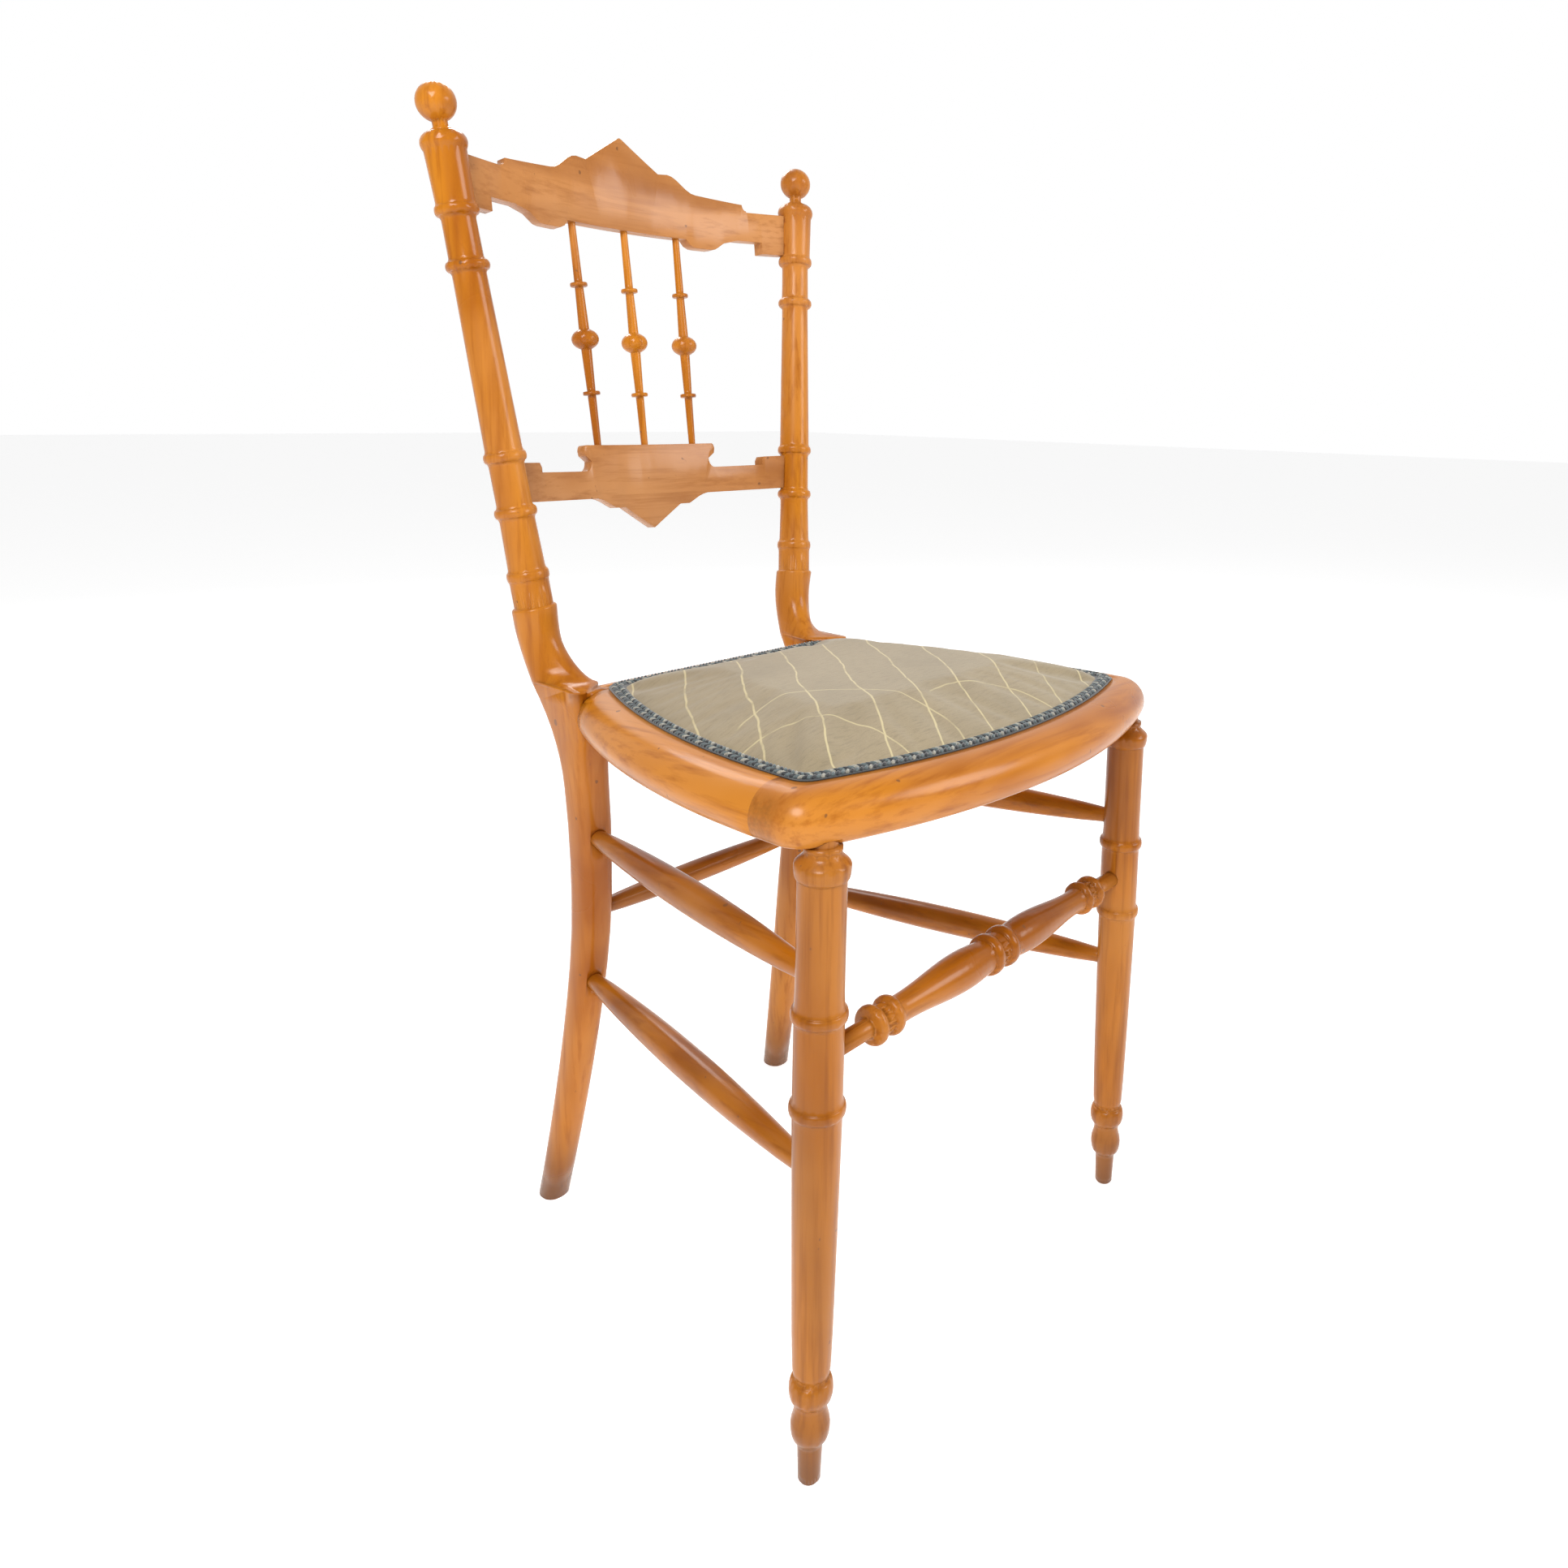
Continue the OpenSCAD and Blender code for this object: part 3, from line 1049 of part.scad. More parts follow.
gimp_inset = border_w - gimp_lip;
gimp_side_share = 0.45;
gimp_crown_share = 0.24;
function gimp_ring(share, lift) = soft_ring(gimp_inset + gimp_w * share, gimp_z + gimp_t * lift);
module gimp_trim() color(slate) centred() banded([
    gimp_ring(0, 0), gimp_ring(0, gimp_side_share), gimp_ring(gimp_crown_share, 1),
    gimp_ring(1 - gimp_crown_share, 1), gimp_ring(1, gimp_side_share), gimp_ring(1, 0)]);
// A closed band skinned through a loop of rings, each one joined to the next and the last to the first
module banded(rings) {
    k = len(rings[0]);
    m = len(rings);
    quads = [for (j = [0 : m - 1], i = [0 : k - 1]) let (next = (j + 1) % m, side = (i + 1) % k)
        [j * k + i, next * k + i, next * k + side, j * k + side]];
    polyhedron(points = [for (r = rings, p = r) p],
        faces = concat([for (q = quads) [q[0], q[1], q[2]]], [for (q = quads) [q[0], q[2], q[3]]]));
}

rear_post_left();
rear_post_right();
crest_rail();
lower_back_rail();
back_spindle_left();
back_spindle_centre();
back_spindle_right();
front_leg_left();
front_leg_right();
seat_front_rail();
seat_left_rail();
seat_right_rail();
seat_back_rail();
front_stretcher();
back_stretcher();
upper_left_stretcher();
upper_right_stretcher();
lower_left_stretcher();
lower_right_stretcher();
seat_dowels();
webbing_lengthwise();
webbing_crosswise();
webbing_tacks();
seat_hessian();
seat_stuffing();
seat_cover();
cover_tacks();
gimp_trim();
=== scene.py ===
import math
import bpy
from mathutils import Matrix, Vector
from mathutils.geometry import convex_hull_2d


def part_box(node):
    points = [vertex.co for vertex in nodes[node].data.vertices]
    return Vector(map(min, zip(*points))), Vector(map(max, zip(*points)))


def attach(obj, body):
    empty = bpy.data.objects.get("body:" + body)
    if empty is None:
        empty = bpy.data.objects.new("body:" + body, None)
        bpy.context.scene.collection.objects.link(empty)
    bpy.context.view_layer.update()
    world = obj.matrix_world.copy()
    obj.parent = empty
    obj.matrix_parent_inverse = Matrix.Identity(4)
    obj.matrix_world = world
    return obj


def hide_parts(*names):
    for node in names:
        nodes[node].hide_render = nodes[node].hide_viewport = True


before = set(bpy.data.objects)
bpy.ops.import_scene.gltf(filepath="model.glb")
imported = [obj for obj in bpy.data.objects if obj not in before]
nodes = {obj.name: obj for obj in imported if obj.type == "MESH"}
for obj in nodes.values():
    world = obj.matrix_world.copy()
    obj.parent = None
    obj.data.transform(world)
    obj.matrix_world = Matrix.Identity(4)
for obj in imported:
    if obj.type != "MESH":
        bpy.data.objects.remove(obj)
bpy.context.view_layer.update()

MM = 0.001

# The camera stands where the photograph was taken: its place, its turn in degrees, and its frame
CAMERA_PLACE = Vector((-637.1, -614.3, 658.2)) * MM
CAMERA_YAW = 51.4652
CAMERA_PITCH = -8.9828
CAMERA_ROLL = 1.1730
PHOTO_SIDE = 1932
FOCAL_PIXELS = 1422.879
CENTRE_COLUMN = 1126.194
CENTRE_ROW = 726.600
SENSOR = 36.0
NEAREST_SEEN = 10 * MM

# Three soft lamps, each with its place, the point it faces, its width and its watts
SOFTBOXES = {
    "key_softbox": ((-1.6, -0.9, 2.1), (0, 0, 0.5), 1.1, 50),
    "right_softbox": ((1.2, -1.9, 1.5), (0, 0, 0.5), 1.1, 26),
    "rear_softbox": ((0.8, 1.8, 2.2), (0, 0, 0.6), 1.1, 22),
}

# How bright the surroundings are in front of the chair, against 1 behind it, so that the varnish keeps its
# depth. They brighten between two cosines of the angle to the level line of sight
WORLD_FRONT = 0.33
BRIGHTER_FROM, BRIGHT_AT = 0.15, 0.62

# The floor, in metres, with a faint glow of its own that keeps it white
FLOOR_WHITE = (0.93, 0.93, 0.93)
FLOOR_SIZE = 40

# Finishes, as linear colours: honey for the posts and the frame, honey darkened with painted shade for the
# front legs and the stretchers, and matt honey for the two fretted rails
HONEY = {"deep": (0.300, 0.080, 0.004), "base": (0.500, 0.172, 0.010), "pale": (0.560, 0.220, 0.042)}
PAINTED_SHADE_HONEY = {"deep": (0.200, 0.052, 0.003), "base": (0.390, 0.120, 0.004), "pale": (0.420, 0.160, 0.026)}
MATT_HONEY = {"deep": (0.300, 0.105, 0.024), "base": (0.450, 0.185, 0.052), "pale": (0.540, 0.255, 0.095)}
WORN_BROWN = (0.150, 0.060, 0.022)
# end grain together with painted shade, for the side of the front rail by the joint
END_GRAIN_SHADE = (0.240, 0.090, 0.014)
BARE_BEECH = (0.560, 0.340, 0.160)
CLOTH_OLIVE = (0.320, 0.252, 0.150)
CLOTH_SHADE = (0.160, 0.124, 0.070)
STRIPE_YELLOW = (0.540, 0.450, 0.245)
BRAID_COLOURS = {
    "braid_slate": (0.100, 0.135, 0.140),
    "braid_black": (0.020, 0.024, 0.028),
    "braid_cream": (0.380, 0.365, 0.300),
}
JUTE = (0.420, 0.300, 0.150)
TACK_BLUE = (0.055, 0.058, 0.066)

# How each finish meets the light
VARNISH_SHINE = {"Roughness": 0.3, "Specular IOR Level": 0.14, "Coat Weight": 0.22, "Coat Roughness": 0.18}
BARE_WOOD_SHINE = {"Roughness": 0.75}
CLOTH_SHINE = {"Roughness": 0.85, "Sheen Weight": 0.25, "Sheen Roughness": 0.5}
YARN_SHINE = {"Roughness": 0.6, "Sheen Weight": 0.4}
JUTE_SHINE = {"Roughness": 0.9}
STEEL_SHINE = {"Roughness": 0.4, "Metallic": 0.9}
FLOOR_SHINE = {"Roughness": 0.9, "Specular IOR Level": 0.1, "Emission Strength": 0.45}

# Wood patterns, in waves to the metre along x, y and z: fine fibres, and the broad figure of the grain
FIBRES = {"x": (7, 190, 190), "y": (190, 7, 190), "z": (190, 190, 7)}
FIGURE = {"x": (2.2, 16, 16), "y": (16, 2.2, 16), "z": (16, 16, 2.2)}
DOWEL_FIBRES = (170, 30, 170)
FIBRE_NOISE = {"detail": 5, "roughness": 0.6}
FIGURE_NOISE = {"detail": 3, "distortion": 0.8}
DOWEL_NOISE = {"detail": 5}
WOOD_CLOUDS = {"scale": 9, "detail": 2}
DENTS = {"scale": 170, "detail": 0}
END_SPECKLES = {"scale": 420, "detail": 3}

# How strongly a pattern colours its ground: from nothing at its first value to all at its second, or
# between the two amounts that follow
FIGURE_TINT = (0.36, 0.56)
WOOD_CLOUD_TINT = (0.42, 0.72, 0, 0.7)
FIBRE_TINT = (0.48, 0.72, 0, 0.75)
DENT_TINT = (0.83, 0.86, 0, 0.75)
END_SPECKLE_TINT = (0.35, 0.65, 0.15, 0.65)
DOWEL_TINT = (0.35, 0.7)
NAP_TINT = (0.50, 0.72, 0, 0.55)
CLOTH_CLOUD_TINT = (0.45, 0.80, 0, 0.35)
WEAVE_TINT = (0.35, 0.65, 0, 0.22)
STRIPE_TINT = (0.30, 0.50, 0.35, 0.95)
TWIST_TINT = (0.35, 0.65)
FUZZ_TINT = (0.4, 0.8, 0, 0.4)

# How rough the varnish and the tacks are, over their patterns
VARNISH_ROUGHNESS = (0.3, 0.7, 0.24, 0.40)
STEEL_ROUGHNESS = (0.3, 0.7, 0.3, 0.6)

# Fine relief, as its strength and its depth
FIBRE_RELIEF = (0.10, 0.25 * MM)
DOWEL_RELIEF = (0.3, 0.2 * MM)
CLOTH_RELIEF = (0.35, 0.25 * MM)
YARN_RELIEF = (0.5, 0.3 * MM)
JUTE_RELIEF = (0.5, 0.4 * MM)

# The feet are worn from here down, by a ragged line that follows the clouds in the wood
WEAR_TOP, WEAR_FULL = 75 * MM, 4 * MM
WEAR_DEPTH_SHARE = 0.80
WEAR_LINE = (0.2, 0.8, -20 * MM, 20 * MM)

# The darker end grain, together with painted shade on the side of the rail below its lit top, comes in
# towards the joint with the side rails, and downwards from the top of the frame
END_GRAIN_SHADE_FROM, END_GRAIN_SHADE_FULL = 22 * MM, 15 * MM
END_GRAIN_SHADE_UNDER, END_GRAIN_SHADE_DEEP = 2.5 * MM, 10 * MM

# Arrises: below this turn between faces, in degrees, turned and fretted pieces are smooth, cut pieces aren't
# softened, and faces count as flat
TURNED_ARRIS = 36
FRETTED_ARRIS = 35
SHARP_ARRIS = 40
FLAT_WITHIN = 0.4
JOIN_WITHIN = 0.004 * MM
FRET_SOFTENING = 0.7 * MM
STRIP_SOFTENING = 0.25 * MM
SOFTENING_STEPS = 2

# Faces of a turned leg that are longer than this are shaded as round, and its axis joins its two end faces
LONG_FACE = 12 * MM
END_SLAB = 0.3 * MM
ROUND_WITHIN_SHARE = 0.8

# The cloth's pale stripes run slantwise over the seat. So many are counted before the first one that no place
# across them is negative
STRIPE_TURN = 36.9
STRIPE_PITCH = 38.5 * MM
STRIPE_SHIFT = 17.5 * MM
STRIPES_BEFORE = 10.5
STRIPE_WIDTH = 0.9 * MM
STRIPE_SWAY = 1.2 * MM
STRIPE_WAVE = 120 * MM
STRIPE_UNSTEADY = {"scale": 22, "detail": 3}
STRIPE_JITTER = (0.3, 0.7, -1.5 * MM, 1.5 * MM)
STRIPE_BREAKS = {"scale": 60, "detail": 2}

# A few arcs cross the stripes: each has its middle and its radius, in millimetres, and fades in beyond a
# slanting line through its middle
CROSS_ARCS = [((-160, -170), 64), ((-115, -152), 77), ((5, -188), 56)]
ARC_SLOPE = 0.55
ARC_FROM, ARC_FULL = 6, 14
ARC_TINT = (0, 0.8)

# The cloth's nap of fine slanting streaks, in waves to the metre, its weave and its clouds
NAP_STREAKS = (90, 700, 90)
NAP_TURN = 62
NAP_NOISE = {"detail": 4, "roughness": 0.7}
CLOTH_WEAVE = {"scale": 1500, "detail": 2}
CLOTH_CLOUDS = {"scale": 16, "detail": 3}

# The pad fills the cover, spread sideways, and then swells as cloth. Its lowest part is held, and no other
# point moves further than the cap
PAD_VOXEL = 4 * MM
PAD_PRESSURE = 4
PAD_SPREAD = 11 * MM
PAD_HELD = 2.5 * MM
PAD_CLOTH_MASS = 0.3
PAD_CLOTH_QUALITY = 6
PAD_FRAMES = 20
PAD_CAP = 6 * MM

# The braid: slanting strands in two rows on a flat band, which is half as high as the CAD band
BAND_HALF = 5.5 * MM
BAND_HEIGHT_SHARE = 0.5
STRAND_PITCH = 3.3 * MM
STRAND_SIZE = (5.8 * MM, 2.5 * MM, 3.0 * MM)
STRAND_SLANT = 48
STRAND_SIDES, STRAND_RINGS = 8, 6
ROW_OFFSET = 2.4 * MM
YARN_TWIST = (900, 900, 900)
YARN_NOISE = {"detail": 3}
YARN_SHADE_SHARE = 0.55
STRAND_ORDER = ["braid_slate", "braid_black", "braid_slate", "braid_cream", "braid_black"]
INNER_ROW_LAG = 2

# Threads of the webbing and of the finer hessian, in radians to the metre
WEBBING_THREADS = 2200
HESSIAN_THREADS = 3200
JUTE_SHADE_SHARE = 0.45
JUTE_FUZZ = {"scale": 300, "detail": 3}
TACK_SPOTS = {"scale": 900, "detail": 2}


def active_only(piece):
    """Selects one object and nothing else."""
    bpy.ops.object.select_all(action="DESELECT")
    piece.select_set(True)
    bpy.context.view_layer.objects.active = piece


def apply_modifiers(piece):
    active_only(piece)
    for modifier in list(piece.modifiers):
        bpy.ops.object.modifier_apply(modifier=modifier.name)


def on_all_faces(operator, **settings):
    """Runs one edit-mode operator on the whole mesh of the active object."""
    bpy.ops.object.mode_set(mode="EDIT")
    bpy.ops.mesh.select_all(action="SELECT")
    operator(**settings)
    bpy.ops.object.mode_set(mode="OBJECT")


def copy_of(node, name):
    """A merged copy of a CAD node's mesh, ready to be finished."""
    piece = bpy.data.objects.new(name, nodes[node].data.copy())
    piece.data.name = name
    bpy.context.scene.collection.objects.link(piece)
    piece.data.materials.clear()
    active_only(piece)
    on_all_faces(bpy.ops.mesh.remove_doubles, threshold=JOIN_WITHIN)
    return piece


def soften_arrises(piece, width):
    """Makes the flat faces whole again, and gives the sharp arrises a small round."""
    on_all_faces(bpy.ops.mesh.dissolve_limited, angle_limit=math.radians(FLAT_WITHIN))
    bevel = piece.modifiers.new("softened", "BEVEL")
    bevel.width = width
    bevel.segments = SOFTENING_STEPS
    bevel.limit_method = "ANGLE"
    bevel.angle_limit = math.radians(SHARP_ARRIS)
    apply_modifiers(piece)


def dress(piece, material, slot, *replaced):
    """Gives a finished piece its material, its body and the nodes that it stands for."""
    if material:
        paint(piece, material)
    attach(piece, "root")
    if replaced:
        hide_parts(*replaced)


def paint(piece, material):
    """Gives a piece one material and no other."""
    piece.data.materials.clear()
    piece.data.materials.append(material)


# Materials
def new_material(name, colour, shine):
    """A material with its colour and its shine, by the names of the shader's sockets."""
    material = bpy.data.materials.new(name)
    material.use_nodes = True
    tree = material.node_tree
    shader = tree.nodes["Principled BSDF"]
    shader.inputs["Base Color"].default_value = (*colour, 1)
    for socket, value in shine.items():
        shader.inputs[socket].default_value = value
    return material, tree, shader


def place_on(tree, scale=(1, 1, 1), turn=(0, 0, 0)):
    """Object coordinates through a Mapping node."""
    coordinates = tree.nodes.new("ShaderNodeTexCoord")
    mapping = tree.nodes.new("ShaderNodeMapping")
    mapping.inputs["Scale"].default_value = scale
    mapping.inputs["Rotation"].default_value = [math.radians(a) for a in turn]
    tree.links.new(coordinates.outputs["Object"], mapping.inputs["Vector"])
    return mapping.outputs["Vector"]


def split_of(tree, vector):
    """The x, y and z sockets of a vector."""
    node = tree.nodes.new("ShaderNodeSeparateXYZ")
    tree.links.new(vector, node.inputs["Vector"])
    return node.outputs


def noise(tree, vector, scale=1, detail=4, roughness=0.5, distortion=0):
    node = tree.nodes.new("ShaderNodeTexNoise")
    node.inputs["Scale"].default_value = scale
    node.inputs["Detail"].default_value = detail
    node.inputs["Roughness"].default_value = roughness
    node.inputs["Distortion"].default_value = distortion
    tree.links.new(vector, node.inputs["Vector"])
    return node.outputs["Fac"]


def remap(tree, value, low, high, to_low=0, to_high=1):
    """Carries a value from the range low to high to another range, and clamps it there."""
    node = tree.nodes.new("ShaderNodeMapRange")
    node.inputs["From Min"].default_value = low
    node.inputs["From Max"].default_value = high
    node.inputs["To Min"].default_value = to_low
    node.inputs["To Max"].default_value = to_high
    tree.links.new(value, node.inputs["Value"])
    return node.outputs["Result"]


def blend(tree, factor, first, second):
    """Mixes two colours, each a tuple or a socket."""
    node = tree.nodes.new("ShaderNodeMix")
    node.data_type = "RGBA"
    tree.links.new(factor, node.inputs["Factor"])
    for colour, socket in ((first, node.inputs["A"]), (second, node.inputs["B"])):
        if isinstance(colour, tuple):
            socket.default_value = (*colour, 1)
        else:
            tree.links.new(colour, socket)
    return node.outputs["Result"]


def calculate(tree, operation, first, second=None):
    """One step of arithmetic on numbers or sockets."""
    node = tree.nodes.new("ShaderNodeMath")
    node.operation = operation
    for value, socket in zip((first, second), node.inputs):
        if isinstance(value, (int, float)):
            socket.default_value = value
        elif value is not None:
            tree.links.new(value, socket)
    return node.outputs["Value"]


def on_vectors(tree, operation, vector, constant):
    """One step of vector arithmetic between a socket and a constant."""
    node = tree.nodes.new("ShaderNodeVectorMath")
    node.operation = operation
    node.inputs[1].default_value = constant
    tree.links.new(vector, node.inputs[0])
    return node.outputs


def bump(tree, shader, height, strength, distance):
    node = tree.nodes.new("ShaderNodeBump")
    node.inputs["Strength"].default_value = strength
    node.inputs["Distance"].default_value = distance
    tree.links.new(height, node.inputs["Height"])
    tree.links.new(node.outputs["Normal"], shader.inputs["Normal"])


def varnished_wood(name, along, tones=HONEY, worn_feet=False, joint=None):
    """Honey-coloured varnish over a light wood whose grain runs along one axis."""
    material, tree, shader = new_material(name, tones["base"], VARNISH_SHINE)
    fibres = noise(tree, place_on(tree, FIBRES[along]), **FIBRE_NOISE)
    figure = noise(tree, place_on(tree, FIGURE[along]), **FIGURE_NOISE)
    clouds = noise(tree, place_on(tree), **WOOD_CLOUDS)
    dents = noise(tree, place_on(tree), **DENTS)
    colour = blend(tree, remap(tree, figure, *FIGURE_TINT), tones["deep"], tones["base"])
    colour = blend(tree, remap(tree, clouds, *WOOD_CLOUD_TINT), colour, tones["pale"])
    colour = blend(tree, remap(tree, fibres, *FIBRE_TINT), colour, tones["deep"])
    colour = blend(tree, remap(tree, dents, *DENT_TINT), colour, WORN_BROWN)
    place = split_of(tree, place_on(tree))
    if worn_feet:
        height = calculate(tree, "ADD", place["Z"], remap(tree, clouds, *WEAR_LINE))
        wear = remap(tree, height, WEAR_TOP, WEAR_FULL, 0, WEAR_DEPTH_SHARE)
        colour = blend(tree, wear, colour, WORN_BROWN)
    if joint is not None:
        # painted shade with the end grain: the side of the front rail beside the joint is darkened, its lit
        # top is not
        colour = blend(tree, end_grain_and_shade(tree, place, joint), colour, END_GRAIN_SHADE)
    tree.links.new(colour, shader.inputs["Base Color"])
    tree.links.new(remap(tree, clouds, *VARNISH_ROUGHNESS), shader.inputs["Roughness"])
    bump(tree, shader, fibres, *FIBRE_RELIEF)
    return material


def end_grain_and_shade(tree, place, joint):
    """Where end grain drinks more of the varnish, together with painted shade on the side of the rail: beside
    the joint, and not on the lit top of the frame.
    """
    beside = remap(tree, place["Y"], joint.y - END_GRAIN_SHADE_FROM, joint.y - END_GRAIN_SHADE_FULL)
    below = remap(tree, place["Z"], joint.z - END_GRAIN_SHADE_UNDER, joint.z - END_GRAIN_SHADE_DEEP)
    speckles = remap(tree, noise(tree, place_on(tree), **END_SPECKLES), *END_SPECKLE_TINT)
    return calculate(tree, "MULTIPLY", calculate(tree, "MULTIPLY", beside, below), speckles)


def bare_wood():
    material, tree, shader = new_material("bare_dowel_wood", BARE_BEECH, BARE_WOOD_SHINE)
    fibres = noise(tree, place_on(tree, DOWEL_FIBRES), **DOWEL_NOISE)
    colour = blend(tree, remap(tree, fibres, *DOWEL_TINT), BARE_BEECH, HONEY["pale"])
    tree.links.new(colour, shader.inputs["Base Color"])
    bump(tree, shader, fibres, *DOWEL_RELIEF)
    return material


def line_near(tree, distance, width):
    """1 on a line and 0 away from it, for a distance in metres."""
    return remap(tree, distance, width / 2, width, 1, 0)


def swaying_stripes(tree, jitter):
    """1 on the pale stripes: they repeat over the slant, and sway along it."""
    across_along = split_of(tree, place_on(tree, turn=(0, 0, STRIPE_TURN)))
    phase = calculate(tree, "MULTIPLY", across_along["Y"], math.tau / STRIPE_WAVE)
    sway = calculate(tree, "MULTIPLY", calculate(tree, "SINE", phase), STRIPE_SWAY)
    place = calculate(tree, "ADD", calculate(tree, "ADD", across_along["X"], sway), jitter)
    place = calculate(tree, "ADD", place, STRIPE_SHIFT + STRIPES_BEFORE * STRIPE_PITCH)
    offset = calculate(tree, "SUBTRACT", calculate(tree, "MODULO", place, STRIPE_PITCH), STRIPE_PITCH / 2)
    return line_near(tree, calculate(tree, "ABSOLUTE", offset), STRIPE_WIDTH)


def cross_arc(tree, flat, jitter, x, y, radius):
    """1 on an arc around a point of the seat, on one side of that point; x, y and radius in millimetres."""
    away = on_vectors(tree, "DISTANCE", flat, (x * MM, y * MM, 0))["Value"]
    gap = calculate(tree, "SUBTRACT", calculate(tree, "ADD", away, jitter), radius * MM)
    beyond = split_of(tree, flat)
    slant = calculate(tree, "ADD", beyond["X"], calculate(tree, "MULTIPLY", beyond["Y"], ARC_SLOPE))
    start = x + ARC_SLOPE * y
    side = remap(tree, slant, (start + ARC_FROM) * MM, (start + ARC_FULL) * MM, *ARC_TINT)
    return calculate(tree, "MULTIPLY", side, line_near(tree, calculate(tree, "ABSOLUTE", gap), STRIPE_WIDTH))


def olive_cloth():
    """A fine olive cloth with thin pale stripes that sway, and a few arcs across them."""
    material, tree, shader = new_material("olive_seat_cloth", CLOTH_OLIVE, CLOTH_SHINE)
    jitter = remap(tree, noise(tree, place_on(tree), **STRIPE_UNSTEADY), *STRIPE_JITTER)
    lines = swaying_stripes(tree, jitter)
    flat = on_vectors(tree, "MULTIPLY", place_on(tree), (1, 1, 0))["Vector"]
    for (x, y), radius in CROSS_ARCS:
        lines = calculate(tree, "MAXIMUM", lines, cross_arc(tree, flat, jitter, x, y, radius))
    nap = noise(tree, place_on(tree, NAP_STREAKS, (0, 0, NAP_TURN)), **NAP_NOISE)
    weave = noise(tree, place_on(tree), **CLOTH_WEAVE)
    clouds = noise(tree, place_on(tree), **CLOTH_CLOUDS)
    ground = blend(tree, remap(tree, nap, *NAP_TINT), CLOTH_OLIVE, CLOTH_SHADE)
    ground = blend(tree, remap(tree, clouds, *CLOTH_CLOUD_TINT), ground, CLOTH_SHADE)
    ground = blend(tree, remap(tree, weave, *WEAVE_TINT), ground, CLOTH_SHADE)
    broken = remap(tree, noise(tree, place_on(tree), **STRIPE_BREAKS), *STRIPE_TINT)
    colour = blend(tree, calculate(tree, "MULTIPLY", lines, broken), ground, STRIPE_YELLOW)
    tree.links.new(colour, shader.inputs["Base Color"])
    bump(tree, shader, calculate(tree, "ADD", weave, nap), *CLOTH_RELIEF)
    return material


def braid_yarn(name, colour):
    material, tree, shader = new_material(name, colour, YARN_SHINE)
    twist = noise(tree, place_on(tree, YARN_TWIST), **YARN_NOISE)
    darker = tuple(c * YARN_SHADE_SHARE for c in colour)
    twisted = blend(tree, remap(tree, twist, *TWIST_TINT), darker, colour)
    tree.links.new(twisted, shader.inputs["Base Color"])
    bump(tree, shader, twist, *YARN_RELIEF)
    return material


def jute_weave(name, colour, threads):
    """Plain woven jute: two crossed sets of threads."""
    material, tree, shader = new_material(name, colour, JUTE_SHINE)
    place = split_of(tree, place_on(tree, (threads, threads, threads)))
    warp = calculate(tree, "SINE", place["X"])
    weft = calculate(tree, "SINE", place["Y"])
    height = calculate(tree, "MULTIPLY", warp, weft)
    darker = tuple(c * JUTE_SHADE_SHARE for c in colour)
    fuzz = noise(tree, place_on(tree), **JUTE_FUZZ)
    woven = blend(tree, remap(tree, height, -1, 1), darker, colour)
    fuzzy = blend(tree, remap(tree, fuzz, *FUZZ_TINT), woven, BARE_BEECH)
    tree.links.new(fuzzy, shader.inputs["Base Color"])
    bump(tree, shader, height, *JUTE_RELIEF)
    return material


def blued_steel():
    material, tree, shader = new_material("blued_tack_steel", TACK_BLUE, STEEL_SHINE)
    spots = noise(tree, place_on(tree), **TACK_SPOTS)
    tree.links.new(remap(tree, spots, *STEEL_ROUGHNESS), shader.inputs["Roughness"])
    return material


# Woodwork
def finish_turned(node, material):
    """A turned or moulded piece: the CAD shape, merged and smooth-shaded between its arrises."""
    piece = copy_of(node, node + "_finished")
    bpy.ops.object.shade_smooth_by_angle(angle=math.radians(TURNED_ARRIS))
    if node.startswith("front_leg"):
        round_shading(piece)
    dress(piece, material, "varnished_wood", node)


def middle_of(points):
    return sum(points, Vector()) / len(points)


def round_shading(piece):
    """Gives the long faces of a turned leg normals that point straight away from its axis."""
    mesh = piece.data
    low = min(v.co.z for v in mesh.vertices)
    high = max(v.co.z for v in mesh.vertices)
    foot = middle_of([v.co for v in mesh.vertices if v.co.z < low + END_SLAB])
    top = middle_of([v.co for v in mesh.vertices if v.co.z > high - END_SLAB])
    axis = (top - foot).normalized()
    normals = [Vector()] * len(mesh.loops)
    for polygon in mesh.polygons:
        heights = [mesh.vertices[i].co.z for i in polygon.vertices]
        if max(heights) - min(heights) < LONG_FACE:
            continue
        for loop in polygon.loop_indices:
            away = mesh.vertices[mesh.loops[loop].vertex_index].co - foot
            away = away - axis * away.dot(axis)
            if away.dot(polygon.normal) > away.length * ROUND_WITHIN_SHARE:
                normals[loop] = away.normalized()
    mesh.normals_split_custom_set(normals)


def finish_sawn(node, material):
    """A fretted piece, with its arrises softened."""
    piece = copy_of(node, node + "_finished")
    soften_arrises(piece, FRET_SOFTENING)
    bpy.ops.object.shade_smooth_by_angle(angle=math.radians(FRETTED_ARRIS))
    dress(piece, material, "varnished_wood", node)


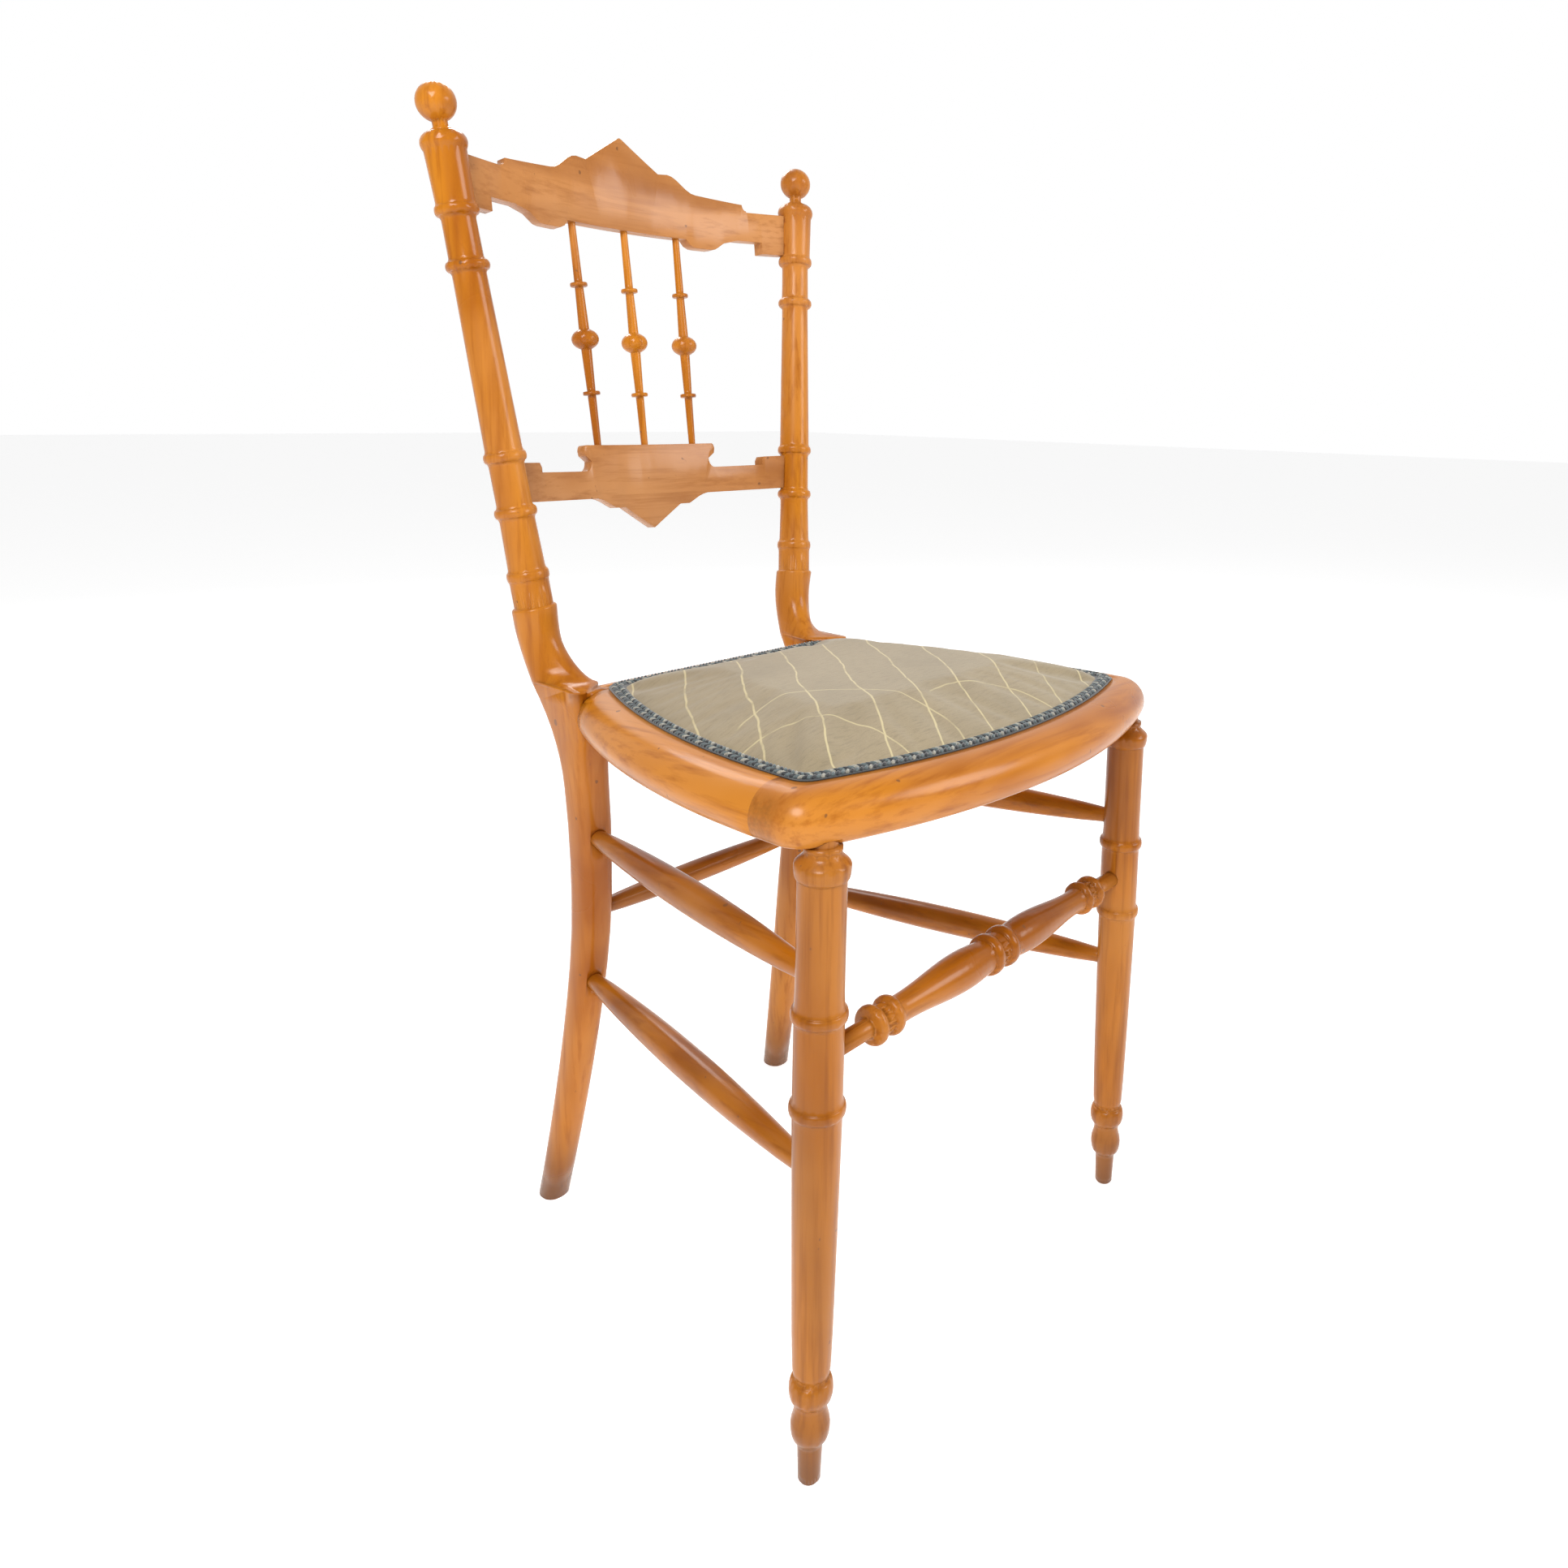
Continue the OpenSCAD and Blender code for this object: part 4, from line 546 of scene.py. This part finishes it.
def make_woodwork():
    # The side rails meet the front rail along its rear edge, and its top is the top of the frame
    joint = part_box("seat_front_rail")[1]
    upright = varnished_wood("upright_varnished_wood", "z", worn_feet=True)
    crosswise = varnished_wood("crosswise_varnished_wood", "x")
    # painted shade: the front legs and the stretchers take the same honey darkened, for the shade they stand
    # in
    shaded_upright = varnished_wood("shaded_upright_varnished_wood", "z", tones=PAINTED_SHADE_HONEY, worn_feet=True)
    shaded_crosswise = varnished_wood("shaded_crosswise_varnished_wood", "x", tones=PAINTED_SHADE_HONEY)
    shaded_lengthwise = varnished_wood("shaded_lengthwise_varnished_wood", "y", tones=PAINTED_SHADE_HONEY)
    jointed = varnished_wood("jointed_varnished_wood", "x", joint=joint)
    lengthwise = varnished_wood("lengthwise_varnished_wood", "y")
    fretted = varnished_wood("fretted_varnished_wood", "x", tones=MATT_HONEY)
    turned = [
        (upright, ["rear_post_left", "rear_post_right",
                   "back_spindle_left", "back_spindle_centre", "back_spindle_right"]),
        (shaded_upright, ["front_leg_left", "front_leg_right"]),
        (shaded_crosswise, ["front_stretcher", "back_stretcher"]),
        (crosswise, ["seat_back_rail"]),
        (jointed, ["seat_front_rail"]),
        (shaded_lengthwise, ["upper_left_stretcher", "upper_right_stretcher",
                             "lower_left_stretcher", "lower_right_stretcher"]),
        (lengthwise, ["seat_left_rail", "seat_right_rail"]),
    ]
    for material, names in turned:
        for node in names:
            finish_turned(node, material)
    for node in ("crest_rail", "lower_back_rail"):
        finish_sawn(node, fretted)
    paint(nodes["seat_dowels"], bare_wood())


# Upholstery
def make_pad():
    """The stuffed seat, swollen by a cloth simulation inside the shape that the solids give it."""
    piece = copy_of("seat_stuffing", "seat_pad")
    low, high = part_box("seat_stuffing")
    cover_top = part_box("seat_cover")[1].z
    centre = (low + high) / 2
    size = high - low
    rise = (cover_top - low.z) / (high.z - low.z)
    stretch = (1 + PAD_SPREAD / size.x, 1 + PAD_SPREAD / size.y, rise, 1)
    piece.data.transform(Matrix.Translation((centre.x, centre.y, low.z))
                         @ Matrix.Diagonal(stretch)
                         @ Matrix.Translation((-centre.x, -centre.y, -low.z)))
    remesh = piece.modifiers.new("even", "REMESH")
    remesh.mode = "VOXEL"
    remesh.voxel_size = PAD_VOXEL
    apply_modifiers(piece)
    swell(piece, low.z)
    finer = piece.modifiers.new("finer", "SUBSURF")
    finer.levels = 1
    finer.render_levels = 1
    apply_modifiers(piece)
    for polygon in piece.data.polygons:
        polygon.use_smooth = True
    dress(piece, olive_cloth(), "cover_cloth", "seat_stuffing", "seat_cover")


def swell(piece, floor_z):
    """Blows the pad up while its lower edge is held, and caps how far each point has moved."""
    before = [v.co.copy() for v in piece.data.vertices]
    held = piece.vertex_groups.new(name="held")
    held.add([v.index for v in piece.data.vertices if v.co.z < floor_z + PAD_HELD], 1, "REPLACE")
    cloth = piece.modifiers.new("swollen", "CLOTH")
    cloth.settings.quality = PAD_CLOTH_QUALITY
    cloth.settings.mass = PAD_CLOTH_MASS
    cloth.settings.use_pressure = True
    cloth.settings.uniform_pressure_force = PAD_PRESSURE
    cloth.settings.vertex_group_mass = held.name
    cloth.settings.effector_weights.gravity = 0
    cloth.point_cache.frame_start = 1
    cloth.point_cache.frame_end = PAD_FRAMES
    for step in range(1, PAD_FRAMES + 1):
        bpy.context.scene.frame_set(step)
    apply_modifiers(piece)
    bpy.context.scene.frame_set(1)
    for vertex, start in zip(piece.data.vertices, before):
        move = vertex.co - start
        if move.length > PAD_CAP:
            vertex.co = start + move.normalized() * PAD_CAP
    piece.vertex_groups.clear()


def braid_path():
    """The outer edge of the CAD band, smoothed, as (point, direction) pairs at even steps, anticlockwise."""
    flat = [Vector((v.co.x, v.co.y)) for v in nodes["gimp_trim"].data.vertices]
    outer = [flat[i] for i in convex_hull_2d(flat)]
    if sum(a.x * b.y - b.x * a.y for a, b in zip(outer, outer[1:] + outer[:1])) < 0:
        outer.reverse()
    sides = list(zip(outer, outer[1:] + outer[:1]))
    length = sum((b - a).length for a, b in sides)
    # A whole number of colour repeats goes round, so that the pattern meets itself
    count = int(round(length / STRAND_PITCH / len(STRAND_ORDER))) * len(STRAND_ORDER)
    step = length / count
    path = []
    travelled, target = 0.0, 0.0
    for a, b in sides:
        span = (b - a).length
        while target <= travelled + span and len(path) < count:
            path.append(a.lerp(b, (target - travelled) / span))
            target += step
        travelled += span
    smooth = []
    for i in range(count):
        near = [path[(i + k) % count] for k in (-2, -1, 0, 1, 2)]
        smooth.append((near[0] + near[1] + near[2] + near[3] + near[4]) / 5)
    return [(smooth[i], (smooth[(i + 1) % count] - smooth[i - 1]).normalized()) for i in range(count)]


def model_strand(materials):
    """One strand as a small round bead of size 1, which every strand is copied from."""
    bpy.ops.object.select_all(action="DESELECT")
    bpy.ops.mesh.primitive_uv_sphere_add(segments=STRAND_SIDES, ring_count=STRAND_RINGS, radius=0.5)
    strand = bpy.context.object
    bpy.ops.object.shade_smooth()
    for material in materials:
        strand.data.materials.append(material)
    return strand


def lay_strand(strand, point, direction, row, height):
    """A copy of the strand in the outer row (1) or the inner row (-1) of the braid."""
    inward = Vector((-direction.y, direction.x))
    turn = math.atan2(direction.y, direction.x) + math.radians(row * STRAND_SLANT)
    ahead = STRAND_PITCH / 2 if row > 0 else 0
    middle = point + inward * (BAND_HALF - row * ROW_OFFSET) + direction * ahead
    mesh = strand.data.copy()
    mesh.transform(Matrix.Translation((middle.x, middle.y, height))
                   @ Matrix.Rotation(turn, 4, "Z")
                   @ Matrix.Diagonal((*STRAND_SIZE, 1)))
    laid = bpy.data.objects.new("braid_strand", mesh)
    bpy.context.scene.collection.objects.link(laid)
    return laid


def make_braid():
    """Two rows of slanting strands on a flat band, one mesh with a material for each yarn."""
    order = list(BRAID_COLOURS)
    materials = [braid_yarn(name, colour) for name, colour in BRAID_COLOURS.items()]
    path = braid_path()
    low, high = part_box("gimp_trim")
    base = copy_of("gimp_trim", "gimp_braid")
    lowered = (high.z - low.z) * BAND_HEIGHT_SHARE
    for vertex in base.data.vertices:
        vertex.co.z = low.z + (vertex.co.z - low.z) * lowered / (high.z - low.z)
    for material in materials:
        base.data.materials.append(material)
    for polygon in base.data.polygons:
        polygon.material_index = order.index("braid_black")
    strand = model_strand(materials)
    laid = []
    for i, (point, direction) in enumerate(path):
        for row in (1, -1):
            copy = lay_strand(strand, point, direction, row, low.z + lowered)
            lag = INNER_ROW_LAG if row < 0 else 0
            kind = order.index(STRAND_ORDER[(i + lag) % len(STRAND_ORDER)])
            copy.data.polygons.foreach_set("material_index", [kind] * len(copy.data.polygons))
            laid.append(copy)
    bpy.data.objects.remove(strand)
    active_only(base)
    for copy in laid:
        copy.select_set(True)
    bpy.ops.object.join()
    dress(base, None, "gimp_braid", "gimp_trim")


def make_webbing():
    """Strips of jute webbing with softened edges, and the hessian on them."""
    strips = (("webbing_lengthwise", "webbing_long_strips"), ("webbing_crosswise", "webbing_cross_strips"))
    for node, name in strips:
        piece = copy_of(node, name)
        soften_arrises(piece, STRIP_SOFTENING)
        dress(piece, jute_weave(name + "_jute", JUTE, WEBBING_THREADS), "webbing", node)
    hessian = copy_of("seat_hessian", "hessian_sheet")
    dress(hessian, jute_weave("hessian_jute", BARE_BEECH, HESSIAN_THREADS), "hessian", "seat_hessian")


def make_tacks():
    steel = blued_steel()
    for node in ("webbing_tacks", "cover_tacks"):
        paint(nodes[node], steel)


# Studio
def make_floor():
    bpy.ops.object.select_all(action="DESELECT")
    bpy.ops.mesh.primitive_plane_add(size=FLOOR_SIZE, location=(0, 0, 0))
    floor = bpy.context.object
    floor.name = "pale_floor"
    material, tree, shader = new_material("pale_floor_white", FLOOR_WHITE, FLOOR_SHINE)
    shader.inputs["Emission Color"].default_value = (1, 1, 1, 1)
    floor.data.materials.append(material)


def area_light(name, place, target, size, watts):
    data = bpy.data.lights.new(name, "AREA")
    data.shape = "DISK"
    data.size = size
    data.energy = watts
    light = bpy.data.objects.new(name, data)
    bpy.context.scene.collection.objects.link(light)
    light.location = place
    light.rotation_euler = (Vector(target) - Vector(place)).to_track_quat("-Z", "Y").to_euler()


def make_studio():
    """White surroundings behind the chair, dimmer ones in front of it, and the lamps."""
    world = bpy.data.worlds.new("studio")
    bpy.context.scene.world = world
    world.use_nodes = True
    tree = world.node_tree
    background = tree.nodes["Background"]
    background.inputs["Color"].default_value = (1, 1, 1, 1)
    line_of_sight = (math.sin(math.radians(CAMERA_YAW)), math.cos(math.radians(CAMERA_YAW)), 0)
    coordinates = tree.nodes.new("ShaderNodeTexCoord")
    facing = on_vectors(tree, "DOT_PRODUCT", coordinates.outputs["Generated"], line_of_sight)["Value"]
    level = remap(tree, facing, BRIGHTER_FROM, BRIGHT_AT, WORLD_FRONT, 1.0)
    tree.links.new(level, background.inputs["Strength"])
    for name, (place, target, size, watts) in SOFTBOXES.items():
        area_light(name, place, target, size, watts)
    bpy.context.scene.view_settings.view_transform = "Standard"
    bpy.context.scene.view_settings.look = "None"


def make_camera():
    data = bpy.data.cameras.new("photo_camera")
    camera = bpy.data.objects.new("photo_camera", data)
    bpy.context.scene.collection.objects.link(camera)
    bpy.context.scene.camera = camera
    data.sensor_width = SENSOR
    data.lens = FOCAL_PIXELS / PHOTO_SIDE * SENSOR
    data.shift_x = (PHOTO_SIDE / 2 - CENTRE_COLUMN) / PHOTO_SIDE
    data.shift_y = (CENTRE_ROW - PHOTO_SIDE / 2) / PHOTO_SIDE
    data.clip_start = NEAREST_SEEN
    camera.matrix_world = (
        Matrix.Translation(CAMERA_PLACE)
        @ Matrix.Rotation(math.radians(-CAMERA_YAW), 4, "Z")
        @ Matrix.Rotation(math.radians(90 + CAMERA_PITCH), 4, "X")
        @ Matrix.Rotation(math.radians(CAMERA_ROLL), 4, "Z")
    )


make_camera()
make_woodwork()
make_pad()
make_braid()
make_webbing()
make_tacks()
make_floor()
make_studio()
